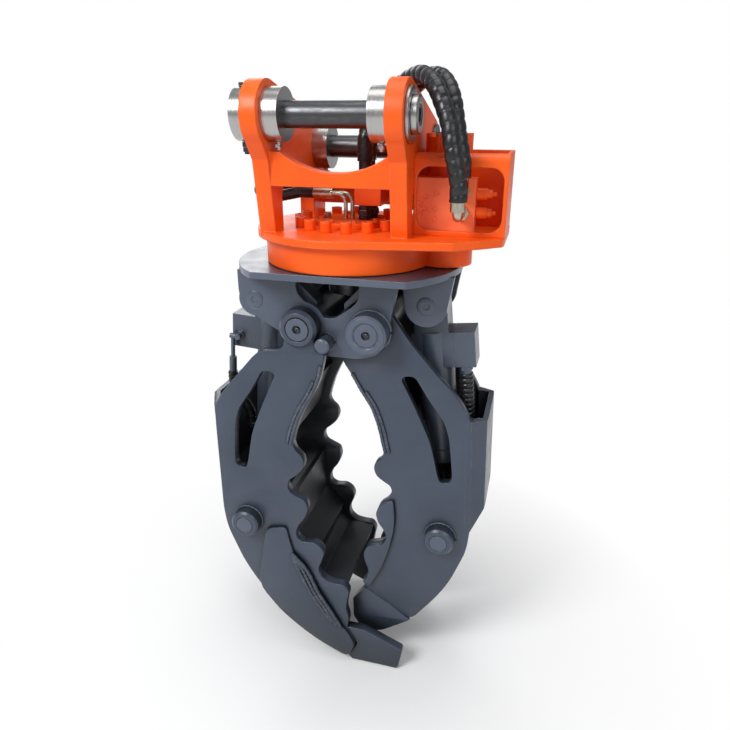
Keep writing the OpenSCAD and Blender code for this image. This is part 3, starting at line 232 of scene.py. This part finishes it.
def steel(name, colour, shade, rough, stretch, stained, relief=0.12):
    """Turned or milled steel: fine tool marks, faint stains and bright edges."""
    n = Nodes(name)
    normal, near_edge = n.edges(0.0012)
    marks = n.noise(90.0, 4.0, 0.65, stretch)
    tone = n.mix(n.ramp(marks, 0.3, 0.7), colour, shade)
    tone = n.mix(n.ramp(n.noise(14.0, 5.0, 0.7), 0.5, 0.8, 0.0, stained), tone, (0.10, 0.07, 0.05))
    tone = n.mix(n.math("MULTIPLY", near_edge, 0.5), tone, (0.75, 0.75, 0.74))
    n.link(tone, n.shader.inputs["Base Color"])
    n.shader.inputs["Metallic"].default_value = 1.0
    n.link(n.ramp(marks, 0.3, 0.7, rough - 0.05, rough + 0.08), n.shader.inputs["Roughness"])
    n.link(n.bump(marks, relief, 0.0004, normal), n.shader.inputs["Normal"])
    return n.material


def rubber(name, colour, rough):
    """Hose rubber with paler, duller patches."""
    n = Nodes(name)
    dusty = tuple(2.6 * c for c in colour)
    n.link(n.mix(n.ramp(n.noise(60.0, 4.0, 0.6), 0.4, 0.75), colour, dusty),
           n.shader.inputs["Base Color"])
    n.link(n.ramp(n.noise(45.0, 3.0, 0.6), 0.3, 0.7, rough - 0.08, rough + 0.12),
           n.shader.inputs["Roughness"])
    n.link(n.bump(n.noise(700.0, 2.0, 0.5), 0.15, 0.0004), n.shader.inputs["Normal"])
    return n.material


ORANGE = paint("hanger_paint", (0.96, 0.118, 0.003), (0.87, 0.090, 0.002), (0.92, 0.30, 0.12), 0.40,
               edge=0.005, wear=0.5, dirt=(0.30, 0.05, 0.015), dirt_amount=0.45, gloss=0.38)
# The head and jaw paints darken their hollows with painted shade
HEAD = paint("head_paint", (0.083, 0.104, 0.148), (0.066, 0.084, 0.124), (0.26, 0.29, 0.34), 0.34,
             edge=0.0026, wear=0.8, dirt=(0.10, 0.09, 0.09), dirt_amount=0.3, coat=0.15, hollow_painted_shade=0.6)
JAW = paint("jaw_paint", (0.046, 0.062, 0.095), (0.036, 0.050, 0.079), (0.22, 0.25, 0.29), 0.36,
            edge=0.003, wear=0.8, dirt=(0.10, 0.09, 0.09), dirt_amount=0.35, coat=0.1, hollow_painted_shade=0.92)
# Painted shade: a near-black copy of the jaw paint for the jaws' inner walls and cross plate,
# standing in for the shade between the plates
INNER_WALL_SHADE_PAINT = paint("inner_wall_painted_shade", (0.016, 0.020, 0.030), (0.011, 0.014, 0.021),
              (0.14, 0.155, 0.18), 0.42, edge=0.003, wear=0.9, dirt=(0.06, 0.05, 0.05),
              dirt_amount=0.4, gloss=0.35, hollow_painted_shade=0.8)
# Painted light: a paler, brighter copy of the hanger orange for the valve block, standing in for
# the light that falls on it
VALVE_PAINTED_LIGHT = paint("valve_paint_with_painted_light", (1.0, 0.20, 0.07), (0.94, 0.16, 0.05), (0.95, 0.42, 0.25), 0.40,
              edge=0.002, wear=0.4, dirt=(0.35, 0.07, 0.03), dirt_amount=0.4, gloss=0.45)
MACHINED = steel("machined_steel", (0.50, 0.49, 0.48), (0.45, 0.44, 0.43), 0.27,
                 (15, 0.02, 0.02), 0.3, relief=0.006)
PIN = steel("pin_steel", (0.115, 0.118, 0.125), (0.075, 0.077, 0.082), 0.36, (0.5, 2, 2), 0.3)
DARK = steel("dark_steel", (0.085, 0.085, 0.09), (0.045, 0.045, 0.05), 0.42, (1, 1, 1), 0.3)
BRIGHT = steel("bright_steel", (0.60, 0.60, 0.60), (0.42, 0.42, 0.41), 0.26, (1, 1, 1), 0.2)
ZINC = steel("zinc_plate", (0.62, 0.57, 0.46), (0.42, 0.39, 0.32), 0.28, (1, 1, 1), 0.25)
CHROME = steel("chrome_rod", (0.72, 0.73, 0.75), (0.64, 0.65, 0.67), 0.10, (0.3, 0.3, 4), 0.1)
BRONZE = steel("bronze", (0.42, 0.27, 0.11), (0.30, 0.19, 0.08), 0.35, (1, 1, 1), 0.3)
RUBBER = rubber("hose_rubber", (0.008, 0.008, 0.010), 0.32)
BY_SLOT = {"hanger_paint": ORANGE, "head_paint": HEAD, "jaw_paint": JAW,
           "machined_steel": MACHINED, "dark_steel": DARK, "bright_steel": BRIGHT,
           "zinc_plate": ZINC, "chrome_rod": CHROME, "bronze": BRONZE, "hose_rubber": RUBBER}
for part in frame["record"]["subparts"]:
    node = nodes[part["node"]]
    node.data.materials.clear()
    node.data.materials.append(BY_SLOT[part["material_slot"]])
# Nodes that look unlike their slot; the valve block gets the brighter orange with painted light
for name, material in (("stick_pin", PIN), ("link_pin", PIN), ("cross_nuts", DARK),
                       ("pivot_nipples", DARK), ("slew_valve", VALVE_PAINTED_LIGHT)):
    nodes[name].data.materials[0] = material


# Spacing of a weld bead's rings, four to a ripple
BEAD_STEP = 2.6 / 4000


def around(count):
    """Angles at even steps once round."""
    return [2 * math.pi * k / count for k in range(count)]


class Shape:
    """Closed shapes that make one piece of the visual model."""

    def __init__(self):
        self.mesh = bmesh.new()

    def skin(self, rings, closed=False):
        """Faces between rings of points that all have the same number of points."""
        made = [[self.mesh.verts.new(p) for p in points] for points in rings]
        pairs = list(zip(made, made[1:])) + ([(made[-1], made[0])] if closed else [])
        for low, high in pairs:
            for k in range(len(low)):
                m = (k + 1) % len(low)
                self.mesh.faces.new((low[k], low[m], high[m], high[k]))
        if not closed:
            self.mesh.faces.new(made[0][::-1])
            self.mesh.faces.new(made[-1])

    def lathe(self, place, along, profile, sides, closed=False):
        """A turned shape: profile holds distances along the axis and radii, in millimetres."""
        a = along.orthogonal().normalized()
        b = along.cross(a)
        spokes = [math.cos(t) * a + math.sin(t) * b for t in around(sides)]
        self.skin([[place + (d * along + r * spoke) / 1000 for spoke in spokes]
                   for d, r in profile], closed)

    def tube(self, path, radius, sides):
        """A tube along a path. radius(i, angle) is its radius at a ring and an angle, in metres."""
        turns = around(sides)
        self.skin([[point + radius(i, t) * (math.cos(t) * a + math.sin(t) * b) for t in turns]
                   for i, (point, (a, b)) in enumerate(zip(path, frames_along(path)))])

    def bead(self, points, width):
        """A weld bead along points: overlapping ripples with thin ends. Width in millimetres."""
        path, _ = even_curve(points, BEAD_STEP)
        last = len(path) - 1

        def radius(i, angle):
            ripple = 0.86 + 0.14 * math.sin(math.pi * ((i / 4) % 1.0))
            uneven = 1 + 0.06 * math.sin(i * 0.37) + 0.05 * math.sin(i * 0.113 + 1)
            end = min(1.0, 0.25 + 0.15 * i, 0.25 + 0.15 * (last - i))
            return width / 2000 * ripple * uneven * end

        self.tube(path, radius, 10)

    def plate(self, loops, place, near, far, bevel):
        """A flat plate with round edges between two planes, from an outline and its holes."""
        curve = bpy.data.curves.new("outline", "CURVE")
        curve.dimensions, curve.fill_mode = "2D", "BOTH"
        curve.extrude = (abs(far - near) / 2 - bevel) / 1000
        curve.bevel_depth, curve.offset, curve.bevel_resolution = bevel / 1000, -bevel / 1000, 1
        for loop in loops:
            spline = curve.splines.new("POLY")
            spline.points.add(len(loop) - 1)
            spline.use_cyclic_u = True
            for point, (x, y) in zip(spline.points, loop):
                point.co = (x / 1000, y / 1000, 0, 1)
        outline = bpy.data.objects.new("outline", curve)
        data = bpy.data.meshes.new_from_object(outline)
        middle = (near + far) / 2
        for vertex in data.vertices:
            x, y, z = vertex.co * 1000
            vertex.co = place(x, middle + z, y)
        self.mesh.from_mesh(data)
        bmesh.ops.remove_doubles(self.mesh, verts=self.mesh.verts, dist=1e-6)
        bpy.data.objects.remove(outline)
        bpy.data.curves.remove(curve)
        bpy.data.meshes.remove(data)

    def prism(self, loop, place, near, far):
        """A sharp-edged block of an outline between two planes."""
        self.skin([[place(x, plane, y) for x, y in loop] for plane in (near, far)])

    def done(self, name, material, body, slot, *replaced):
        """Makes the shapes one piece that rides a body and stands for the nodes it replaces."""
        bmesh.ops.recalc_face_normals(self.mesh, faces=self.mesh.faces)
        data = bpy.data.meshes.new(name)
        self.mesh.to_mesh(data)
        self.mesh.free()
        data.shade_smooth()
        data.set_sharp_from_angle(angle=math.radians(32))
        data.materials.append(material)
        obj = bpy.data.objects.new(name, data)
        bpy.context.scene.collection.objects.link(obj)
        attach(obj, body)
        for node in replaced:
            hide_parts(node)


def smooth_curve(points, steps):
    """Points of a smooth curve through a route, as the solid's own route is drawn."""
    out = []
    for i in range(len(points) - 1):
        a, b = points[max(i - 1, 0)], points[i]
        c, d = points[i + 1], points[min(i + 2, len(points) - 1)]
        for k in range(steps):
            t = k / steps
            bend = 2 * a - 5 * b + 4 * c - d + t * (3 * b - a - 3 * c + d)
            out.append(b + 0.5 * t * (c - a + t * bend))
    return out + [points[-1]]


def even_curve(points, spacing):
    """The smooth curve through a route, with points at an even spacing, and its length."""
    fine = smooth_curve(points, 40)
    length = sum((b - a).length for a, b in zip(fine, fine[1:]))
    count = max(2, round(length / spacing))
    out, walked, i = [fine[0]], 0.0, 0
    for k in range(1, count):
        goal = length * k / count
        while walked + (fine[i + 1] - fine[i]).length < goal:
            walked += (fine[i + 1] - fine[i]).length
            i += 1
        share = (goal - walked) / (fine[i + 1] - fine[i]).length
        out.append(fine[i].lerp(fine[i + 1], share))
    return out + [fine[-1]], length


def frames_along(path):
    """Two normals at each point, without twist."""
    last = len(path) - 1
    tangents = [(path[min(i + 1, last)] - path[max(i - 1, 0)]).normalized()
                for i in range(last + 1)]
    normal = tangents[0].orthogonal().normalized()
    out = []
    for t in tangents:
        normal = (normal - normal.dot(t) * t).normalized()
        out.append((normal, t.cross(normal)))
    return out


def soften(loop, share=0.42, steps=3):
    """A closed outline with each corner rounded over a share of its sides."""
    out = []
    for i, b in enumerate(loop):
        b = Vector(b)
        u, w = Vector(loop[i - 1]) - b, Vector(loop[(i + 1) % len(loop)]) - b
        reach = share * min(u.length, w.length)
        start, end = b + reach * u.normalized(), b + reach * w.normalized()
        for k in range(steps + 1):
            t = k / steps
            out.append(tuple((1 - t) ** 2 * start + 2 * t * (1 - t) * b + t * t * end))
    return out


def hose(name, route, diameter, pitch, depth, body, node):
    """A hose of a route in a spiral guard: round wraps with narrow grooves between them."""
    path, length = even_curve(route, pitch / 10000)
    spacing = length / (len(path) - 1)

    def radius(i, angle):
        turn = i * spacing * 1000 / pitch - angle / (2 * math.pi)
        groove = abs((turn % 1.0) - 0.5) * 2
        return (diameter / 2 - depth * groove ** 3) / 1000

    shape = Shape()
    shape.tube(path, radius, 26)
    shape.done(name, RUBBER, body, "hose_rubber", node)


# Routes of the hoses in millimetres, the cylinders' seen from their upper pins
FRONT_ROUTE = [(252, -150, 92), (252, -150, 104), (252, -150, 116), (248, -150, 142),
               (241, -149, 168), (235, -146, 194), (228, -138, 226), (213, -124, 260),
               (192, -98, 293), (165, -62, 312), (135, -25, 311), (100, 6, 294), (68, 24, 265),
               (47, 15, 236), (36, 3, 210), (33, -2, 188), (33, -2, 169), (33, -2, 150)]
REAR_ROUTE = [(252, -112, 132), (252, -112, 144), (252, -112, 156), (247, -112, 180),
              (241, -109, 206), (234, -102, 234), (226, -88, 264), (212, -64, 292),
              (191, -33, 310), (160, 5, 311), (126, 38, 294), (96, 58, 266), (68, 60, 238),
              (44, 48, 210), (33, 37, 188), (31, 34, 170), (31, 34, 160), (31, 34, 150)]
SLEW_ROUTE = [(-82, -8, 82), (-98, -8, 82), (-114, -8, 82), (-136, -18, 78), (-158, -32, 75),
              (-182, -36, 77), (-202, -24, 83), (-211, 2, 88), (-206, 30, 90), (-190, 50, 90),
              (-164, 64, 90), (-132, 76, 91), (-100, 90, 92), (-60, 106, 93), (0, 112, 94),
              (56, 106, 92), (92, 88, 84), (112, 62, 75), (121, 38, 68), (129, 19, 63),
              (140, 10, 62), (149, 10, 62), (158, 10, 62)]
RIGHT_RAM_ROUTE = [(70, -22, 172), (70, -22, 184), (70, -22, 196), (70, -22, 236), (69, -19, 272),
                   (67, -11, 306), (65, -4, 332), (64, -1, 346), (64, 0, 355), (64, 0, 364)]
LEFT_RAM_ROUTE = [(88, -50, 216), (88, -50, 226), (87, -48, 244), (82, -40, 270), (74, -26, 298),
                  (67, -11, 324), (63, -3, 342), (62, 0, 350), (62, 0, 357), (62, 0, 364)]
hose("front_feed_hose", [ring(*p) for p in FRONT_ROUTE], 34.5, 21, 1.7, "hanger", "feed_hose_front")
hose("rear_feed_hose", [ring(*p) for p in REAR_ROUTE], 34.5, 21, 1.7, "hanger", "feed_hose_rear")
hose("slewing_hose", [ring(*p) for p in SLEW_ROUTE], 24, 9, 0.35, "hanger", "slew_hose")
hose("right_cylinder_hose", [at_ram(RIGHT, *p) for p in RIGHT_RAM_ROUTE], 32, 12, 3,
     "right_barrel", "right_ram_hose")
hose("left_cylinder_hose", [at_ram(LEFT, *p) for p in LEFT_RAM_ROUTE], 24, 9, 1.5,
     "left_barrel", "left_ram_hose")


# Jaws: outlines seen from each pivot, outwards and up, in millimetres
SLOT = [(112, -229), (128, -270), (143, -347), (149, -368), (176, -363), (176, -336), (169, -253),
        (158, -212), (120, -158), (91, -106), (59, -112), (85, -166)]
BACK_LINE = [(217, -206), (220, -251), (220, -494), (213, -548), (175, -643), (143, -696),
             (77, -782)]
LEFT_EDGE = [(-57, -51), (-52, -80), (-43, -120), (-26, -157), (-6, -191), (11, -230), (21, -262),
             (27, -286), (21, -302), (5, -316), (0, -332), (5, -352), (22, -370), (40, -384),
             (45, -404), (38, -421), (15, -431), (0, -438), (-5, -460), (4, -488), (20, -508),
             (29, -530), (26, -549), (12, -557), (-17, -553), (-35, -564), (-43, -582),
             (-37, -604), (-27, -626), (-30, -648), (-46, -663), (-70, -667), (-94, -666),
             (-107, -684), (-101, -712), (-97, -743), (-106, -770)]
LEFT_OUTLINE = ([(-36, -51), (-34, 0), (34, 0), (36, -53), (98, -59), (141, -109), (195, -172)]
                + BACK_LINE
                + [(18, -828), (-31, -859), (-104, -890), (-126, -845), (-100, -797)]
                + LEFT_EDGE[::-1])
RIGHT_EDGE = [(-74, -78), (-55, -108), (-33, -150), (-10, -190), (5, -237), (12, -272), (18, -303),
              (12, -320), (-2, -329), (-8, -348), (-2, -367), (14, -380), (32, -391), (36, -408),
              (24, -430), (5, -444), (-4, -468), (2, -492), (15, -510), (22, -530), (14, -552),
              (-10, -558), (-29, -566), (-38, -586), (-36, -610), (-26, -636), (-30, -658),
              (-45, -673)]
RIGHT_OUTLINE = ([(-55, -30), (-50, 8), (-10, 46), (34, 40), (56, 10), (82, -31), (133, -94),
                  (190, -156)] + BACK_LINE + [(30, -745), (-40, -700)] + RIGHT_EDGE[::-1])
LEFT_WEAR = [(104, -526), (50, -515), (45, -544), (28, -615), (-9, -682), (-53, -749), (-76, -785),
             (-100, -801), (-124, -843), (-104, -887), (-31, -855), (18, -824), (75, -779),
             (135, -704)]
RIGHT_WEAR = ([(40, -424), (43, -470), (40, -510), (25, -574), (4, -632), (-27, -689)]
              + RIGHT_EDGE[:13:-1])
LEFT_TIP = [(-100, -797), (-145, -797), (-245, -839), (-234, -901), (-113, -900), (-104, -890),
            (-126, -845)]
RIGHT_TIP = [(77, -782), (6, -829), (-48, -846), (-75, -797), (-74, -740), (-40, -700), (30, -745)]
CROSS_PLATE = [(-99, -671), (-28, -664), (-20, -678), (-97, -683)]
LEFT_WALLS = [[(14, -180), (34, -232), (45, -286)],
              [(38, -440), (42, -500), (36, -556), (8, -586), (-12, -608), (-8, -640), (-36, -672)]]
RIGHT_WALLS = [[(12, -194), (30, -242), (40, -286)],
               [(41, -400), (44, -450), (34, -513), (17, -552)]]
# Thickness of the walls, and the place of the lower cylinder pin
WALL = 12
TOE = (151.2, -512.1)

# Each jaw: side, name, planes of its plates, outline, upper seam line, tip, wear plate, walls
JAWS = [(LEFT, "left", (124, 148), LEFT_OUTLINE, LEFT_EDGE[:8], LEFT_TIP, LEFT_WEAR, LEFT_WALLS),
        (RIGHT, "right", (80, 102), RIGHT_OUTLINE, RIGHT_EDGE[:7], RIGHT_TIP, RIGHT_WEAR,
         RIGHT_WALLS)]


def bent_wall(shape, place, inside, outside):
    """The back wall of a jaw, bent in at both plates, with its slanting bottom."""
    edge, side, half, low, side_low, top = 219.5, 251.5, 80, -494, -430, -206
    rim, turn = outside - 0.8, 14
    bend = [(edge - WALL, rim), (edge - 1, rim), (edge + 0.6, rim - 2),
            (side - turn * (side - edge) / (rim - half), half + turn), (side - 1.6, half + 3),
            (side, half - turn)]
    section = ([(out, -y) for out, y in bend] + bend[::-1]
               + [(edge - WALL, inside), (edge - WALL / 2, inside),
                  (side - WALL, half - WALL / 2), (side - WALL, WALL / 2 - half),
                  (edge - WALL / 2, -inside), (edge - WALL, -inside)])

    def bottom(out):
        return low + (side_low - low) * max(0.0, out - edge) / (side - edge)

    shape.skin([[place(out, y, bottom(out)) for out, y in section],
                [place(out, y, top) for out, y in section]])
    slab = [(edge - WALL, -rim + 3), (side - 5, 1 - half), (side - 5, half - 1),
            (edge - WALL, rim - 3)]
    shape.skin([[place(out, y, bottom(out) + lift) for out, y in slab] for lift in (0.5, 2 * WALL)])


def round_seam(place, centre, plane, radius):
    """Points once round a circle on a flat face, a quarter of a radian apart."""
    return [place(centre[0] + radius * math.cos(t / 4), plane, centre[1] + radius * math.sin(t / 4))
            for t in range(26)]


for side, name, (inside, outside), outline, seam, tip, wear_outline, walls in JAWS:
    body = name + "_jaw"

    def place(out, rear, up, side=side):
        return at_jaw(side, out, rear, up)

    jaw, tips, wear, beads, inner = Shape(), Shape(), Shape(), Shape(), Shape()
    for face in (-1, 1):
        jaw.plate([soften(outline), soften(SLOT)], place, face * inside, face * outside, 2.5)
        tips.plate([soften(tip, 0.1)], place, face * inside, face * outside, 3)
        wear.plate([soften(wear_outline, 0.35)], place,
                   face * (outside + 0.2), face * (outside + 9.8), 3)
        # Boss of the lower cylinder pin
        jaw.lathe(place(TOE[0], 0, TOE[1]), face * Y,
                  [(42, 35), (outside + 25, 35), (outside + 29.8, 30), (outside + 29.8, 21.4),
                   (outside + 28, 20.1), (42, 20.1)], 48, True)
        beads.bead(round_seam(place, TOE, face * (outside + 1), 36.5), 7)
        for inset, first in ((4.5, 1), (13, 2)):
            beads.bead([place(out + inset, face * (outside + 0.5), up)
                        for out, up in seam[first:]], 9)
    bent_wall(jaw, place, inside, outside)
    for face in (-1, 1):
        beads.bead([place(216, face * (outside - 1.6), -208),
                    place(228, face * (outside - 24), -207), place(249, face * 82, -206.5)], 5)
    # Bosses of the pivot
    if side == LEFT:
        inner.prism(CROSS_PLATE, place, -inside - 1, inside + 1)
        for face in (-1, 1):
            jaw.lathe(place(0, 0, 0), face * Y,
                      [(124, 43), (152, 43), (160, 36), (160, 28.5), (157.5, 26.3), (154, 26.3),
                       (154, 30.1), (124, 30.1)], 64, True)
            for shift in (0, 11, 22):
                line = [(38 + shift, -588), (22, -632), (-6, -694), (-34, -740),
                        (-66, -784 - shift / 2)]
                beads.bead([place(out - shift, face * (outside + 9.5), up) for out, up in line],
                           10)
    else:
        jaw.lathe(place(0, 0, 0), Y,
                  [(-102, 40), (102, 40), (102, 30.1), (62, 30.1), (62, 27.2), (-62, 27.2),
                   (-62, 30.1), (-102, 30.1)], 48, True)
    for wall in walls:
        inner.prism(wall + [(out + WALL, up) for out, up in wall[::-1]], place,
                    -inside - 1, inside + 1)
    jaw.done(name + "_jaw_plates", JAW, body, "jaw_paint", name + "_jaw")
    # The inner walls and cross plate carry the near-black paint with painted shade
    inner.done(name + "_jaw_inner_walls", INNER_WALL_SHADE_PAINT, body, "jaw_paint", name + "_jaw")
    tips.done(name + "_jaw_tips", JAW, body, "jaw_paint", name + "_tips")
    wear.done(name + "_jaw_wear", JAW, body, "jaw_paint", name + "_wear_plates")
    beads.done(name + "_jaw_welds", JAW, body, "jaw_paint")


# Turned end of the stick pin
cap = Shape()
cap.lathe(ring(0, *STICK_PIN), X,
          [(156, 50.3), (160.6, 50.3), (162, 48.5), (162, 36), (156, 36)], 72, True)
cap.lathe(ring(0, *STICK_PIN), X,
          [(163, 34.4), (172.6, 34.4), (175, 31.5), (175, 21), (172.6, 18), (163, 18)], 64, True)
cap.done("stick_pin_end", MACHINED, "hanger", "machined_steel")

# Head: pin faces and bosses, the stop pin
faces, pins, seams = Shape(), Shape(), Shape()
for face in (-1, 1):
    faces.lathe(ring(PIVOT[0], 0, PIVOT[1]), face * Y,
                [(150, 44), (157, 44), (162.5, 38.5), (162.5, 30), (160.4, 27.5), (150, 27.5)],
                64, True)
    seams.bead(round_seam(ring, PIVOT, face * 123, 44.5), 8)
    seams.bead(round_seam(ring, STOP_PIN, face * 122.6, 18.5), 5)
    for side, depth in ((LEFT, 122), (RIGHT, 78)):
        pins.lathe(ring(side * RAM_TOP[0], 0, RAM_TOP[1]), face * Y,
                   [(depth - 2, 19.4), (depth + 0.5, 19.4), (depth + 1.5, 17.6), (depth + 1.5, 8.2),
                    (depth + 0.3, 7), (depth - 2, 7)], 48, True)
pins.lathe(ring(STOP_PIN[0], 0, STOP_PIN[1]), Y,
           [(-164, 12.5), (-160.5, 16.8), (142, 16.8), (145, 13)], 40)
faces.done("head_boss_rims", HEAD, "head", "head_paint")
pins.done("head_pin_faces", HEAD, "head", "head_paint", "stop_pin")
seams.done("head_welds", HEAD, "head", "head_paint")


# Floor, backdrop and light
FLOOR_HALF = 12
floor_mesh = bpy.data.meshes.new("floor")
floor_mesh.from_pydata([(x * FLOOR_HALF, y * FLOOR_HALF, FLOOR_Z)
                        for x, y in ((-1, -1), (1, -1), (1, 1), (-1, 1))], [], [(0, 1, 2, 3)])
floor = bpy.data.objects.new("floor", floor_mesh)
bpy.context.scene.collection.objects.link(floor)
n = Nodes("floor")
n.shader.inputs["Base Color"].default_value = (0.90, 0.90, 0.90, 1)
n.shader.inputs["Roughness"].default_value = 0.85
n.shader.inputs["Specular IOR Level"].default_value = 0.1
# White backdrop away from the object's foot, where its shadow stays
glow = n.add("ShaderNodeEmission")
glow.inputs["Color"].default_value = (1, 1, 1, 1)
rays = n.add("ShaderNodeLightPath").outputs
plain_ray = n.math("MAXIMUM", n.math("MAXIMUM", rays["Is Camera Ray"], rays["Is Glossy Ray"]),
                   rays["Is Transmission Ray"])
away = n.add("ShaderNodeVectorMath", operation="DISTANCE")
n.link(n.coords, away.inputs[0])
away.inputs[1].default_value = (0, RING.y, FLOOR_Z)
choice = n.add("ShaderNodeMixShader")
n.link(n.math("MULTIPLY", plain_ray, n.ramp(away.outputs["Value"], 0.30, 0.95)), choice.inputs[0])
n.link(n.shader.outputs[0], choice.inputs[1])
n.link(glow.outputs[0], choice.inputs[2])
n.link(choice.outputs[0], n.tree.nodes["Material Output"].inputs["Surface"])
floor_mesh.materials.append(n.material)

# Soft sky for light and reflections, white where the camera sees it
world = bpy.data.worlds.new("world")
bpy.context.scene.world = world
world.use_nodes = True
tree = world.node_tree
background = tree.nodes["Background"]
background.inputs["Color"].default_value = (0.95, 0.97, 1.0, 1)
background.inputs["Strength"].default_value = 0.34
shown = tree.nodes.new("ShaderNodeBackground")
shown.inputs["Color"].default_value = (1, 1, 1, 1)
shown.inputs["Strength"].default_value = 1.0
choose = tree.nodes.new("ShaderNodeMixShader")
light_path = tree.nodes.new("ShaderNodeLightPath")
seen = tree.nodes.new("ShaderNodeMath")
seen.operation = "MAXIMUM"
tree.links.new(light_path.outputs["Is Camera Ray"], seen.inputs[0])
tree.links.new(light_path.outputs["Is Transmission Ray"], seen.inputs[1])
tree.links.new(seen.outputs[0], choose.inputs[0])
tree.links.new(background.outputs[0], choose.inputs[1])
tree.links.new(shown.outputs[0], choose.inputs[2])
tree.links.new(choose.outputs[0], tree.nodes["World Output"].inputs["Surface"])


def lamp(name, place, aim, size, power):
    """An area lamp that shines at a place."""
    data = bpy.data.lights.new(name, "AREA")
    data.shape = "RECTANGLE"
    data.size, data.size_y = size
    data.energy = power
    obj = bpy.data.objects.new(name, data)
    obj.location = place
    obj.rotation_euler = (Vector(aim) - Vector(place)).to_track_quat("-Z", "Y").to_euler()
    bpy.context.scene.collection.objects.link(obj)


MIDDLE = (0.0, 0.14, -0.55)
lamp("key", (-1.7, -2.6, 2.1), MIDDLE, (1.5, 1.5), 118)
lamp("fill", (2.5, -2.6, 1.7), MIDDLE, (1.8, 1.8), 37)
lamp("top", (0.2, 0.3, 2.7), MIDDLE, (2.2, 2.2), 36)
lamp("rim", (-1.6, 2.8, 0.9), MIDDLE, (1.6, 2.2), 30)
